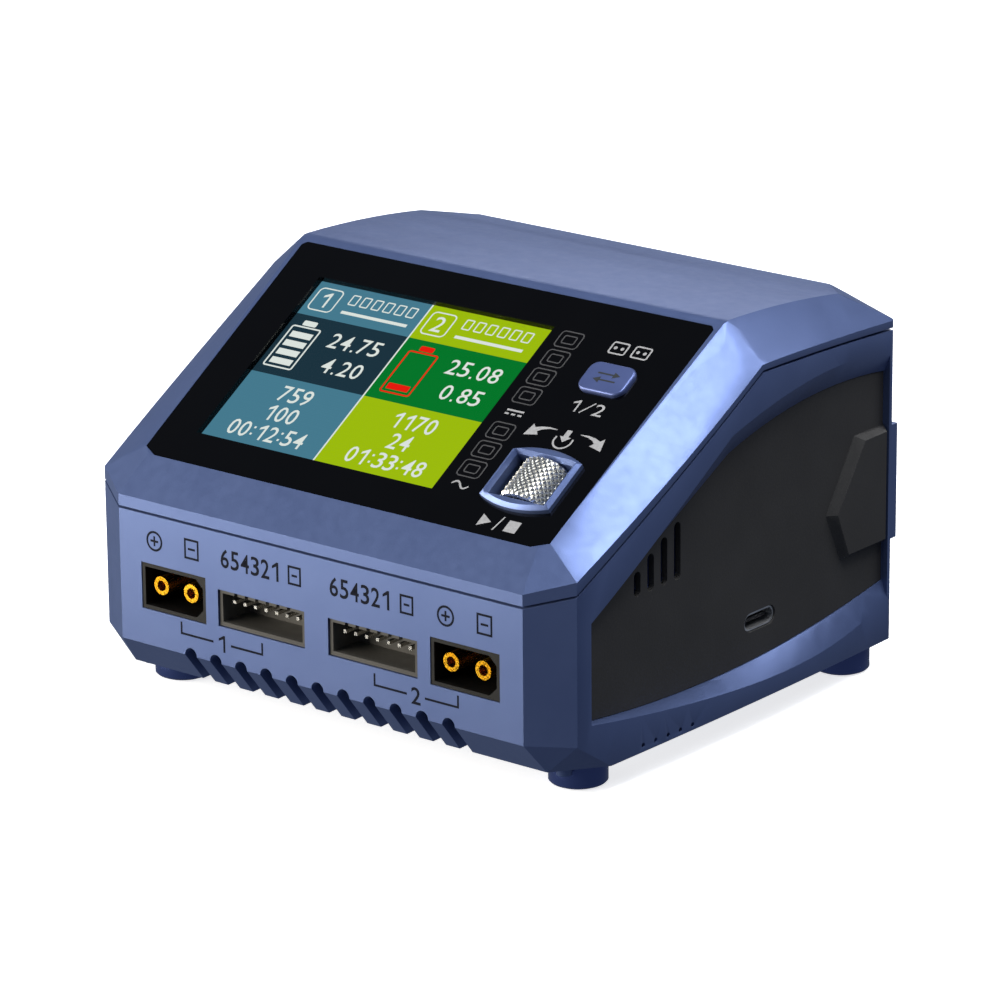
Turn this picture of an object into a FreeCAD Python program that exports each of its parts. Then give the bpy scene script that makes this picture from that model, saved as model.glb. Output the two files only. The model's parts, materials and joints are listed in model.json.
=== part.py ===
"""Two-channel balance battery charger with a sloped display face.

The model is drawn in the case frame: X to the right, Y back from the front face, Z up from the
underside of the case. export() moves it to the part frame, whose origin is the middle of the
whole object's footprint, on the plane that the feet stand on.
"""

import FreeCAD, Part
import math
import os

V = FreeCAD.Vector

# ---- Driving dimensions, in millimetres -------------------------------------------------------

# case outline
HALF_W = 54.9
FRONT_HALF_W = 46.95
CORNER_SETBACK = 5.0
BOW_HALF_W = 56.95
BOW_Y = 50.0
DEPTH = 99.1
GUARD_DEPTH = 100.9
REAR_CORNER_R = 0.5
FOOT_HEIGHT = 5.3

# side profile of the case: heights above the underside
FRONT_LOWER_Z = 5.96
LIP_Z = 33.62
LENS_Y = 6.43
LENS_Z = 40.05
RIDGE_Y = 55.4
RIDGE_Z = 70.2
TOP_MID = (78.0, 69.0)
TOP_REAR_Z = 66.0
BELLY_Z = 0.8
BOTTOM_FRONT_Y = 4.8
RIDGE_FILLET = 4.0
REAR_FILLET = 2.0

# bevels between the slope and the sides, and between the top and the sides
BEVEL_FRONT_OUT = (HALF_W, CORNER_SETBACK, 36.1)
BEVEL_FRONT_IN = (46.8, 7.85, 40.93)
BEVEL_RIDGE_OUT = (56.8, 55.6, 63.54)
BEVEL_RIDGE_IN = (49.1, RIDGE_Y, RIDGE_Z)
SIDE_EDGE_MID = (80.0, 62.7)
SIDE_EDGE_REAR_Z = 61.35

# parting line between the two shells
LIP_HEIGHT = 2.15
RIDGE_LIP_HEIGHT = 1.2
REAR_LIP_HEIGHT = 1.35
SEAM_GAP = 0.5
TONGUE_RISE = 1.5
TONGUE_INSET = 1.3
TONGUE_CLEARANCE = 0.15

# walls
WALL = 2.4
INNER_HALF_W = 51.1
REAR_WALL = 3.7
FLOOR_Z = 2.2
FIT = 0.1

# side panels and the scoops above and below them
PANEL_FRONT_Y = 9.4
PANEL_REAR_Y = 97.9
PANEL_X_OUT = 53.5
PANEL_X_IN = 52.3
SCOOP_X = 53.7
BADGE_X = 54.9
SIDE_VENT_PITCH = 3.85
SIDE_VENT_FIRST_Y = 23.8
SIDE_VENT_TOPS = (32.8, 35.1, 37.1, 38.9)
SIDE_VENT_BOTTOM = 28.2
SIDE_VENT_W = 1.9
PORT_Y = 60.0
PORT_Z = 14.23

# front face
SLOT_COUNT = 11
SLOT_PITCH = 6.04
SLOT_W = 2.86
SLOT_TOP_Z = 7.45
SLOT_LENGTH = 14.0
SOCKET_W = 15.4
SOCKET_H = 8.7
SOCKET_Z = 17.25
SOCKET_DEPTH = 16.0
SOCKET_X = 34.0
SOCKET_PIN_PITCH = 7.2
SOCKET_PIN_R = 1.75
SOCKET_PIN_X = 34.1
SOCKET_PIN_Z = 17.45
HEADER_W = 20.35
HEADER_H = 6.8
HEADER_Z = 16.68
HEADER_DEPTH = 11.0
HEADER_X = 13.02
HEADER_PIN_PITCH = 2.5
HEADER_PINS = 7
HEADER_PIN_Z = 17.9
HEADER_PIN_SIDE = 0.64

# sloped face, in its own frame: u to the right, v up the slope, w out of it
LENS_V1 = 55.7
LENS_HALF_W0 = 46.8
LENS_HALF_W1 = 47.9
LENS_T = 1.2
SHELF_W = -2.4
LCD_U = (-39.0, 17.0)
LCD_V = (6.8, 48.5)
BOARD_W = -6.4
BOARD_T = 1.5
BUTTON_U = 35.0
BUTTON_V = 38.8
BUTTON_SIZE = (10.1, 7.0)
BUTTON_CLIP = 1.9
BUTTON_TOP_W = 0.85
ROLLER_U = 34.95
ROLLER_V = 13.45
ROLLER_R = 5.6
ROLLER_W = -3.4
ROLLER_LENGTH = 9.4
SHAFT_R = 1.0
SHAFT_CLEARANCE = 0.05
BEZEL_TOP_W = 1.5

# boards
BOARD_Z = 11.0
BOARD_THICK = 1.6
BOARD_HALF_W = 45.8
POWER_BOARD_Z = 34.0

# fan
FAN_SIZE = 40.0
FAN_DEPTH = 10.0
FAN_X = -26.0
FAN_Z = 34.3
FAN_Y = 85.2
FAN_BORE_R = 19.0
FAN_HOLE_PITCH = 32.0
HUB_R = 10.5
BLADE_R = 18.3
BLADES = 7
FAN_AXLE_R = 1.5

SLOPE = math.atan2(RIDGE_Z - LENS_Z, RIDGE_Y - LENS_Y)
BOARD_TOP = BOARD_Z + BOARD_THICK
POWER_BOARD_TOP = POWER_BOARD_Z + BOARD_THICK
X_AXIS = V(1, 0, 0)
Y_AXIS = V(0, 1, 0)
Z_AXIS = V(0, 0, 1)
ORIGIN = V(0, 0, 0)


# ---- Shape helpers ----------------------------------------------------------------------------

def box(x0, x1, y0, y1, z0, z1):
    """A block between two values on each axis."""
    return Part.makeBox(x1 - x0, y1 - y0, z1 - z0, V(x0, y0, z0))


def cylinder(radius, length, start, direction=Z_AXIS):
    """A round bar from start along direction."""
    return Part.makeCylinder(radius, length, V(*start), direction)


def tube(outer, inner, length, start, direction=Z_AXIS):
    """A round tube from start along direction."""
    return cylinder(outer, length, start, direction).cut(cylinder(inner, length, start, direction))


def unit(vector):
    """The vector at length 1."""
    return vector.multiply(1.0 / vector.Length)


def join(shapes):
    """One solid from overlapping shapes."""
    return shapes[0].fuse(shapes[1:]).removeSplitter()


def group(shapes):
    """Separate solids that share one node."""
    return Part.makeCompound(shapes)


def mirrored(shape):
    """The shape's left-hand twin."""
    return shape.mirror(ORIGIN, X_AXIS)


def line(p, q):
    """A straight edge between two points."""
    return Part.makeLine(V(*p), V(*q))


def arc(p, q, r):
    """A round edge from p through q to r."""
    return Part.Arc(V(*p), V(*q), V(*r)).toShape()


def polygon_prism(points, direction):
    """A prism on a closed polygon, extruded along direction."""
    corners = [V(*p) for p in points]
    wire = Part.makePolygon(corners + corners[:1])
    return Part.Face(wire).extrude(direction)


def side_prism(edges, x0, x1):
    """A prism on edges drawn in the plane X = 0, between two values of X."""
    face = Part.Face(Part.Wire(edges))
    prism = face.extrude(V(x1 - x0, 0, 0))
    prism.translate(V(x0, 0, 0))
    return prism


def half_space(point, outward):
    """Everything beyond a plane, as a large block that stands on it."""
    reach = 300.0
    block = Part.makeBox(reach, reach, reach, V(-reach / 2, -reach / 2, 0))
    block.Placement = FreeCAD.Placement(point, FreeCAD.Rotation(Z_AXIS, outward))
    return block


def circle_height(p, q, r):
    """The height, as a function of y, of the round line through three points (y, z)."""
    d = 2 * (p[0] * (q[1] - r[1]) + q[0] * (r[1] - p[1]) + r[0] * (p[1] - q[1]))
    squares = [a[0] ** 2 + a[1] ** 2 for a in (p, q, r)]
    cy = (squares[0] * (q[1] - r[1]) + squares[1] * (r[1] - p[1]) + squares[2] * (p[1] - q[1])) / d
    cz = (squares[0] * (r[0] - q[0]) + squares[1] * (p[0] - r[0]) + squares[2] * (q[0] - p[0])) / d
    radius = math.hypot(p[0] - cy, p[1] - cz)
    return lambda y: cz + math.sqrt(radius ** 2 - (y - cy) ** 2)


def on_slope(shape):
    """Moves a shape drawn as (u, v, w) onto the sloped face."""
    moved = shape.copy()
    moved.rotate(ORIGIN, X_AXIS, math.degrees(SLOPE))
    moved.translate(V(0, LENS_Y, LENS_Z))
    return moved


def rounded_slot(width, height, depth, centre, axis_x=True):
    """A bar of stadium section, long side level, centred on a point, along X or along Y."""
    radius = height / 2
    half = width / 2 - radius
    cx, cy, cz = centre
    if axis_x:
        core = box(cx - depth / 2, cx + depth / 2, cy - half, cy + half, cz - radius, cz + radius)
        ends = [cylinder(radius, depth, (cx - depth / 2, cy + s * half, cz), X_AXIS) for s in (-1, 1)]
    else:
        core = box(cx - half, cx + half, cy - depth / 2, cy + depth / 2, cz - radius, cz + radius)
        ends = [cylinder(radius, depth, (cx + s * half, cy - depth / 2, cz), Y_AXIS) for s in (-1, 1)]
    return core.fuse(ends).removeSplitter()


# ---- Case body --------------------------------------------------------------------------------

top_height = circle_height((RIDGE_Y, RIDGE_Z), TOP_MID, (DEPTH, TOP_REAR_Z))
side_edge_height = circle_height(BEVEL_RIDGE_OUT[1:], SIDE_EDGE_MID, (DEPTH, SIDE_EDGE_REAR_Z))
side_x = circle_height((CORNER_SETBACK, HALF_W), (BOW_Y, BOW_HALF_W), (DEPTH, HALF_W))


def bevel_section(outer, inner, normal, inset):
    """A four-sided section that covers what a bevel removes at one station."""
    past_edge = 8.0
    reach = 15.0
    along = unit(inner - outer)
    low = outer - along * past_edge - normal * inset
    high = inner + along * past_edge - normal * inset
    corners = [low, high, high + normal * reach, low + normal * reach]
    return Part.makePolygon(corners + corners[:1])


def bevel_cutters(inset):
    """What the right-hand bevels remove: beside the slope, and beside the top."""
    front_out, front_in = V(*BEVEL_FRONT_OUT), V(*BEVEL_FRONT_IN)
    ridge_out, ridge_in = V(*BEVEL_RIDGE_OUT), V(*BEVEL_RIDGE_IN)
    before_front = -0.12
    start_out = front_out + (ridge_out - front_out) * before_front
    start_in = front_in + (ridge_in - front_in) * before_front
    front_normal = unit((ridge_out - front_out).cross(front_in - front_out))
    ridge_normal = unit((ridge_out - front_out).cross(ridge_in - ridge_out))
    ridge_section = bevel_section(ridge_out, ridge_in, ridge_normal, inset)
    slope_cutter = Part.makeLoft(
        [bevel_section(start_out, start_in, front_normal, inset), ridge_section], True, True)
    sections = [ridge_section]
    for y in (66.0, 77.0, 88.0, 101.0):
        outer = V(side_x(y), y, side_edge_height(y))
        inner = V(BEVEL_RIDGE_IN[0], y, top_height(y))
        normal = unit(V(inner.z - outer.z, 0, outer.x - inner.x))
        sections.append(bevel_section(outer, inner, normal, inset))
    top_cutter = Part.makeLoft(sections, True, False)
    return [slope_cutter, top_cutter]


def facet_planes():
    """Point and outward normal of each flat facet on the right-hand corners."""
    lip = V(FRONT_HALF_W, 0, LIP_Z)
    bevel_out, bevel_in = V(*BEVEL_FRONT_OUT), V(*BEVEL_FRONT_IN)
    upper = (lip, unit((bevel_out - lip).cross(bevel_in - lip)))
    low_front = V(FRONT_HALF_W, 0, FRONT_LOWER_Z)
    low_side = V(HALF_W, CORNER_SETBACK, FRONT_LOWER_Z)
    under_front = V(48.3, BOTTOM_FRONT_Y, 0)
    under_side = V(side_x(13.4), 13.4, 0.4)
    lower_a = (low_front, unit((under_front - low_front).cross(low_side - low_front)))
    lower_b = (low_side, unit((under_front - low_side).cross(under_side - low_side)))
    rear_in = V(42.3, DEPTH, 65.3)
    rear_out = V(HALF_W, DEPTH, 61.5)
    rear_top = V(49.05, 89.5, top_height(89.5))
    rear = (rear_in, unit((rear_top - rear_in).cross(rear_out - rear_in)))
    return [upper, lower_a, lower_b, rear]


def side_profile():
    """The case's outline seen from the side, with the rounded ridge."""
    tangent = RIDGE_FILLET * math.tan(SLOPE / 2)
    ridge_start = (0, RIDGE_Y - tangent * math.cos(SLOPE), RIDGE_Z - tangent * math.sin(SLOPE))
    ridge_end = (0, RIDGE_Y + tangent, top_height(RIDGE_Y + tangent))
    ridge_mid = (0, RIDGE_Y, RIDGE_Z - RIDGE_FILLET * (1 / math.cos(SLOPE / 2) - 1))
    rear_start = (0, DEPTH - REAR_FILLET, top_height(DEPTH - REAR_FILLET))
    rear_end = (0, DEPTH, rear_start[2] - REAR_FILLET)
    bulge = REAR_FILLET * math.sin(math.pi / 4)
    rear_mid = (0, rear_start[1] + bulge, rear_end[2] + bulge)
    edges = [
        line((0, 0, FRONT_LOWER_Z), (0, 0, LIP_Z)),
        line((0, 0, LIP_Z), (0, LENS_Y, LENS_Z)),
        line((0, LENS_Y, LENS_Z), ridge_start),
        arc(ridge_start, ridge_mid, ridge_end),
        arc(ridge_end, (0, *TOP_MID), rear_start),
        arc(rear_start, rear_mid, rear_end),
        line(rear_end, (0, DEPTH, 0)),
        arc((0, DEPTH, 0), (0, DEPTH / 2, BELLY_Z), (0, BOTTOM_FRONT_Y, 0)),
        line((0, BOTTOM_FRONT_Y, 0), (0, 0, FRONT_LOWER_Z)),
    ]
    return Part.Wire(edges)


def plan_profile(z):
    """The case's outline seen from above, with cut front corners and bowed sides."""
    rear = DEPTH - REAR_CORNER_R
    side = HALF_W - REAR_CORNER_R
    bulge = REAR_CORNER_R * math.sin(math.pi / 4)
    edges = [line((-FRONT_HALF_W, 0, z), (FRONT_HALF_W, 0, z))]
    edges.append(line((FRONT_HALF_W, 0, z), (HALF_W, CORNER_SETBACK, z)))
    edges.append(arc((HALF_W, CORNER_SETBACK, z), (BOW_HALF_W, BOW_Y, z), (HALF_W, rear, z)))
    edges.append(arc((HALF_W, rear, z), (side + bulge, rear + bulge, z), (side, DEPTH, z)))
    edges.append(line((side, DEPTH, z), (-side, DEPTH, z)))
    edges.append(arc((-side, DEPTH, z), (-side - bulge, rear + bulge, z), (-HALF_W, rear, z)))
    edges.append(arc((-HALF_W, rear, z), (-BOW_HALF_W, BOW_Y, z), (-HALF_W, CORNER_SETBACK, z)))
    edges.append(line((-HALF_W, CORNER_SETBACK, z), (-FRONT_HALF_W, 0, z)))
    return Part.Wire(edges)


def case_body(inset):
    """The solid form of the case, with every face moved inwards by inset."""
    low, high = -10.0, 90.0
    side_face = Part.Face(side_profile())
    plan_face = Part.Face(plan_profile(low))
    if inset:
        side_face = side_face.makeOffset2D(-inset, 0)
        plan_face = plan_face.makeOffset2D(-inset, 0)
    body = side_face.extrude(V(2 * HALF_W + 10, 0, 0))
    body.translate(V(-HALF_W - 5, 0, 0))
    body = body.common(plan_face.extrude(V(0, 0, high - low)))
    cutters = [half_space(p - n * inset, n) for p, n in facet_planes()]
    cutters += bevel_cutters(inset)
    for cutter in cutters:
        body = body.cut(cutter)
        body = body.cut(mirrored(cutter))
    return body


def below_parting(rise):
    """Everything below the parting line, lifted by rise."""
    lip = V(0, 0, LIP_Z - LIP_HEIGHT)
    side = V(0, CORNER_SETBACK, BEVEL_FRONT_OUT[2] - LIP_HEIGHT - 0.2)
    ridge = V(0, BEVEL_RIDGE_OUT[1] + 0.3, BEVEL_RIDGE_OUT[2] - RIDGE_LIP_HEIGHT)
    mid = V(0, SIDE_EDGE_MID[0], SIDE_EDGE_MID[1] - RIDGE_LIP_HEIGHT)
    rear = V(0, DEPTH, SIDE_EDGE_REAR_Z - REAR_LIP_HEIGHT)
    past = 5.0
    front_out = lip - Y_AXIS * past
    rear_out = rear + Y_AXIS * past
    low = -10.0
    edges = [
        Part.makeLine(front_out, lip),
        Part.makeLine(lip, side),
        Part.makeLine(side, ridge),
        Part.Arc(ridge, mid, rear).toShape(),
        Part.makeLine(rear, rear_out),
        Part.makeLine(rear_out, V(0, rear_out.y, low)),
        Part.makeLine(V(0, rear_out.y, low), V(0, front_out.y, low)),
        Part.makeLine(V(0, front_out.y, low), front_out),
    ]
    solid = side_prism(edges, -HALF_W - past, HALF_W + past)
    solid.translate(V(0, 0, rise))
    return solid


OUTER = case_body(0)
INNER = case_body(WALL)
INNER_LOWER = INNER.common(box(-INNER_HALF_W, INNER_HALF_W, 0, DEPTH - REAR_WALL, FLOOR_Z, 80))

# ---- Side panels ------------------------------------------------------------------------------

PANEL_CORNER = (50.0, 47.9)


def panel_edges(x, grow):
    """The side panel's outline at a given X; grow moves it outwards all round."""
    front = PANEL_FRONT_Y - grow
    rear = PANEL_REAR_Y + grow
    low_front = (x, front, 9.15 - grow)
    high_front = (x, front, 27.2 + grow)
    bend = (x, PANEL_CORNER[0] - grow / 2, PANEL_CORNER[1] + grow)
    high_mid = (x, 70.0, 52.1 + grow)
    high_rear = (x, rear, 51.9 + grow)
    low_rear = (x, rear, 11.5 - grow)
    low_mid = (x, 50.0, 6.8 - grow)
    return [
        line(low_front, high_front),
        line(high_front, bend),
        arc(bend, high_mid, high_rear),
        line(high_rear, low_rear),
        arc(low_rear, low_mid, low_front),
    ]


def scoop_edges(x):
    """The outline, just outside the case's side, of the hollow that runs down to the side panel."""
    front = PANEL_FRONT_Y - 1.9
    rear = PANEL_REAR_Y - 0.3
    low_front = (x, front, 8.96)
    high_front = (x, front, 28.5)
    bend = (x, 46.6, 52.9)
    high_mid = (x, 67.4, 57.6)
    high_rear = (x, rear, 60.6)
    low_rear = (x, rear, 2.8)
    low_mid = (x, 49.5, 4.4)
    return [
        line(low_front, high_front),
        line(high_front, bend),
        arc(bend, high_mid, high_rear),
        line(high_rear, low_rear),
        arc(low_rear, low_mid, low_front),
    ]


def panel_slab(x0, x1, grow):
    """A flat slab on the panel's outline between two values of X."""
    slab = Part.Face(Part.Wire(panel_edges(0, grow))).extrude(V(x1 - x0, 0, 0))
    slab.translate(V(x0, 0, 0))
    return slab


def side_vents(x0, x1, grow):
    """The four upright rounded vents, as bars between two values of X."""
    bars = []
    half = SIDE_VENT_W / 2 + grow
    for i, top in enumerate(SIDE_VENT_TOPS):
        y = SIDE_VENT_FIRST_Y + i * SIDE_VENT_PITCH
        low = SIDE_VENT_BOTTOM + half - grow
        high = top - half + grow
        bar = box(x0, x1, y - half, y + half, low, high)
        ends = [cylinder(half, x1 - x0, (x0, y, z), X_AXIS) for z in (low, high)]
        bars.append(bar.fuse(ends).removeSplitter())
    return bars


def make_badge():
    """The raised half-hexagon at the rear of a side panel, with bevelled edges."""
    base = [(PANEL_REAR_Y, 41.9), (88.5, 41.7), (79.8, 28.4), (84.6, 18.6), (PANEL_REAR_Y, 18.6)]
    face = [(97.2, 40.6), (90.4, 40.5), (82.05, 28.3), (85.6, 19.9), (97.2, 19.9)]
    lower = [V(PANEL_X_OUT - 0.2, *p) for p in base]
    upper = [V(BADGE_X, *p) for p in face]
    wires = [Part.makePolygon(points + points[:1]) for points in (lower, upper)]
    return Part.makeLoft(wires, True, True)


def make_side_panel(with_port):
    """The right-hand side panel."""
    panel = panel_slab(PANEL_X_IN + FIT, PANEL_X_OUT, -FIT)
    panel = panel.fuse(make_badge()).removeSplitter()
    for bar in side_vents(PANEL_X_IN - 1, PANEL_X_OUT + 1, 0):
        panel = panel.cut(bar)
    if with_port:
        panel = panel.cut(rounded_slot(9.3, 3.6, 6, (PANEL_X_OUT, PORT_Y, PORT_Z)))
    return panel


# ---- Lower case -------------------------------------------------------------------------------

FOOT_PLACES = {
    "front_right": (46.5, 15.9), "front_left": (-46.5, 15.9),
    "rear_right": (48.6, 92.3), "rear_left": (-48.6, 92.3),
}
FOOT_R = 5.33
BOSS_PLACES = [(s * 42.5, y) for s in (-1, 1) for y in (22.0, 80.0)]
COLUMN_PLACES = [(s * 48.5, y) for s in (-1, 1) for y in (27.0, 77.0)]
COLUMN_R = 2.3
COLUMN_SPLIT_Z = 30.0
SOCKETS = {"a": -1, "b": 1}
DC_X = 19.0
AC_X = 24.0
AC_Z = 44.5
AC_W = 20.6
AC_H = 11.0
PANEL_POCKET_Y = 97.5
REAR_PANEL = (-47.0, 47.0, 9.0, 56.0)


def slot_bars():
    """The arched bars that cut the vents along the bottom front edge."""
    bars = []
    radius = SLOT_W / 2
    for i in range(SLOT_COUNT):
        x = (i - (SLOT_COUNT - 1) / 2) * SLOT_PITCH
        centre_z = SLOT_TOP_Z - radius
        bar = box(x - radius, x + radius, -1, SLOT_LENGTH, -3, centre_z)
        arch = cylinder(radius, SLOT_LENGTH + 1, (x, -1, centre_z), Y_AXIS)
        bars.append(bar.fuse(arch).removeSplitter())
    return bars


def socket_outline(x, grow, depth, y0):
    """The two-pole socket's outer form: a block with two clipped corners at its right end."""
    half_w = SOCKET_W / 2 + grow
    half_h = SOCKET_H / 2 + grow
    clip = 1.6
    points = [
        (x - half_w, y0, SOCKET_Z - half_h), (x + half_w - clip, y0, SOCKET_Z - half_h),
        (x + half_w, y0, SOCKET_Z - half_h + clip), (x + half_w, y0, SOCKET_Z + half_h - clip),
        (x + half_w - clip, y0, SOCKET_Z + half_h), (x - half_w, y0, SOCKET_Z + half_h),
    ]
    return polygon_prism(points, V(0, depth, 0))


def make_lower_case():
    """The lower shell, with its bosses, scoops, panel seats and openings."""
    shell = OUTER.cut(INNER_LOWER).common(below_parting(-SEAM_GAP))
    ring = case_body(TONGUE_INSET).cut(INNER_LOWER).common(below_parting(TONGUE_RISE))
    shell = shell.fuse(ring.cut(below_parting(-SEAM_GAP - 0.5))).removeSplitter()
    cutters = slot_bars()
    for side in SOCKETS.values():
        cutters.append(box(side * SOCKET_X - SOCKET_W / 2 - FIT, side * SOCKET_X + SOCKET_W / 2 + FIT,
                           -1, WALL + 1, SOCKET_Z - SOCKET_H / 2 - FIT, SOCKET_Z + SOCKET_H / 2 + FIT))
        cutters.append(box(side * HEADER_X - HEADER_W / 2 - FIT, side * HEADER_X + HEADER_W / 2 + FIT,
                           -1, WALL + 1, HEADER_Z - HEADER_H / 2 - FIT, HEADER_Z + HEADER_H / 2 + FIT))
    scoop = Part.makeLoft([Part.Wire(panel_edges(SCOOP_X, 0)), Part.Wire(scoop_edges(BOW_HALF_W + 0.3))],
                          True, True)
    side_cutters = [scoop, panel_slab(PANEL_X_IN, SCOOP_X + 0.01, 0)]
    side_cutters += side_vents(INNER_HALF_W - 1, HALF_W, 0.3)
    side_cutters += [cylinder(0.45, 3, (HALF_W, 22.1 + 3.4 * i, 1.75), X_AXIS) for i in range(5)]
    cutters += side_cutters + [mirrored(c) for c in side_cutters]
    cutters.append(rounded_slot(11.0, 5.2, 6, (INNER_HALF_W, PORT_Y, PORT_Z)))
    x0, x1, z0, z1 = REAR_PANEL
    cutters.append(box(x0, x1, PANEL_POCKET_Y, DEPTH + 3, z0, z1))
    cutters.append(cylinder(FAN_BORE_R, 10, (FAN_X, DEPTH - 7, FAN_Z), Y_AXIS))
    cutters += [cylinder(1.6, 10, (x, DEPTH - 7, z), Y_AXIS) for x, z in fan_holes()]
    cutters.append(box(AC_X - AC_W / 2 - FIT, AC_X + AC_W / 2 + FIT, DEPTH - 7, DEPTH + 3,
                       AC_Z - AC_H / 2 - FIT, AC_Z + AC_H / 2 + FIT))
    cutters.append(box(DC_X - SOCKET_W / 2 - FIT, DC_X + SOCKET_W / 2 + FIT, DEPTH - 7, DEPTH + 3,
                       SOCKET_Z - SOCKET_H / 2 - FIT, SOCKET_Z + SOCKET_H / 2 + FIT))
    for cutter in cutters:
        shell = shell.cut(cutter)
    guard = box(50.0, HALF_W, DEPTH - 1.2, GUARD_DEPTH, 19.5, 41.5)
    guard = guard.makeChamfer(0.4, [e for e in guard.Edges if e.BoundBox.YMin > GUARD_DEPTH - 0.01])
    additions = [guard, mirrored(guard)]
    additions += [cylinder(1.4, 3.0, (s * 48.5, 9.4, -1.6)) for s in (-1, 1)]
    additions += [cylinder(2.6, BOARD_Z - FLOOR_Z + 0.5, (x, y, FLOOR_Z - 0.5)) for x, y in BOSS_PLACES]
    additions += [cylinder(COLUMN_R, COLUMN_SPLIT_Z - FLOOR_Z + 0.5, (x, y, FLOOR_Z - 0.5))
                  for x, y in COLUMN_PLACES]
    shell = join([shell] + additions)
    for x, y in BOSS_PLACES:
        shell = shell.cut(cylinder(1.0, 6.0, (x, y, BOARD_Z - 5.5)))
    for x, y in COLUMN_PLACES:
        shell = shell.cut(cylinder(1.5, 40, (x, y, -5)))
        shell = shell.cut(cylinder(2.5, 6.6, (x, y, -5)))
    return shell


# ---- Upper cover and what sits in the slope ---------------------------------------------------

def lens_prism(grow, w0, w1):
    """The lens outline, wider at the top and with clipped lower corners, between two depths."""
    clip = 3.2
    top_clip = 0.9
    low = LENS_HALF_W0 + grow
    high = LENS_HALF_W1 + grow
    points = [
        (-low + clip, -grow, w0), (low - clip, -grow, w0), (low, clip * 0.5 - grow, w0),
        (high, LENS_V1 - top_clip + grow, w0), (high - top_clip, LENS_V1 + grow, w0),
        (-high + top_clip, LENS_V1 + grow, w0), (-high, LENS_V1 - top_clip + grow, w0),
        (-low, clip * 0.5 - grow, w0),
    ]
    return polygon_prism(points, V(0, 0, w1 - w0))


def button_outline(grow, w):
    """The port button's closed outline at one depth: a rectangle with clipped corners."""
    half_u = BUTTON_SIZE[0] / 2 + grow
    half_v = BUTTON_SIZE[1] / 2 + grow
    clip = BUTTON_CLIP
    corners = [(half_u, -half_v + clip), (half_u, half_v - clip), (half_u - clip, half_v),
               (-half_u + clip, half_v), (-half_u, half_v - clip), (-half_u, -half_v + clip),
               (-half_u + clip, -half_v), (half_u - clip, -half_v)]
    points = [V(BUTTON_U + u, BUTTON_V + v, w) for u, v in corners]
    return Part.makePolygon(points + points[:1])


def button_prism(grow, w0, w1):
    """A prism on the port button's outline between two depths."""
    return Part.Face(button_outline(grow, w0)).extrude(V(0, 0, w1 - w0))


def bezel_outline(grow, w):
    """The roller bezel's outline: straight sides, and bowed top and bottom."""
    half_u = 7.7 + grow
    half_v = 5.6 + grow
    bow = 1.6
    left, right = ROLLER_U - half_u, ROLLER_U + half_u
    low, high = ROLLER_V - half_v, ROLLER_V + half_v
    return [
        line((left, low, w), (left, high, w)),
        arc((left, high, w), (ROLLER_U, high + bow, w), (right, high, w)),
        line((right, high, w), (right, low, w)),
        arc((right, low, w), (ROLLER_U, low - bow, w), (left, low, w)),
    ]


def bezel_prism(grow, w0, w1):
    """A prism on the bezel's outline between two depths."""
    return Part.Face(Part.Wire(bezel_outline(grow, w0))).extrude(V(0, 0, w1 - w0))


def slope_box(u0, u1, v0, v1, w0, w1):
    """A block in the sloped face's own frame, moved onto the slope."""
    return on_slope(box(u0, u1, v0, v1, w0, w1))


DISPLAY_POSTS = [(s * 43.0, v) for s in (-1, 1) for v in (4.2, 50.5)]


def make_upper_cover():
    """The upper shell, with the lens recess, its windows, display posts and screw columns."""
    shell = OUTER.cut(INNER).cut(below_parting(0))
    shell = shell.cut(case_body(TONGUE_INSET - TONGUE_CLEARANCE).common(below_parting(TONGUE_RISE + 0.2)))
    shell = shell.cut(on_slope(lens_prism(FIT, -LENS_T, 3)))
    shell = shell.cut(slope_box(LCD_U[0] - 1, LCD_U[1] + 1, LCD_V[0] - 1, LCD_V[1] + 1, -5, 3))
    shell = shell.cut(on_slope(button_prism(0.3, -5, 3)))
    shell = shell.cut(slope_box(ROLLER_U - 6.7, ROLLER_U + 6.7, ROLLER_V - 6.9, ROLLER_V + 6.9, -5, 3))
    posts = [on_slope(cylinder(1.7, SHELF_W - BOARD_W + 0.8, (u, v, BOARD_W))) for u, v in DISPLAY_POSTS]
    columns = []
    for x, y in COLUMN_PLACES:
        column = cylinder(COLUMN_R, 60, (x, y, COLUMN_SPLIT_Z + 0.1))
        columns.append(column.common(case_body(WALL - 0.4)))
    shell = join([shell] + posts + columns)
    for u, v in DISPLAY_POSTS:
        shell = shell.cut(on_slope(cylinder(0.8, 3.6, (u, v, BOARD_W))))
    for x, y in COLUMN_PLACES:
        shell = shell.cut(cylinder(1.25, 10, (x, y, COLUMN_SPLIT_Z)))
    return shell


def make_lens():
    """The glossy window over the sloped face, with openings for the button and the bezel."""
    lens = lens_prism(0, -LENS_T + 0.02, 0)
    lens = lens.cut(button_prism(0.2, -5, 3))
    lens = lens.cut(bezel_prism(0.08, -5, 3))
    return on_slope(lens)


def make_button():
    """The port button: a bevelled cap on a flange that stays under the cover."""
    bevel = 0.6
    cap = button_prism(0, SHELF_W - 1.0, BUTTON_TOP_W - bevel)
    crown = Part.makeLoft([button_outline(0, BUTTON_TOP_W - bevel), button_outline(-0.9, BUTTON_TOP_W)],
                          True, True)
    flange = button_prism(1.2, SHELF_W - 1.1, SHELF_W - 0.15)
    return on_slope(join([cap, crown, flange]))


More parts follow.
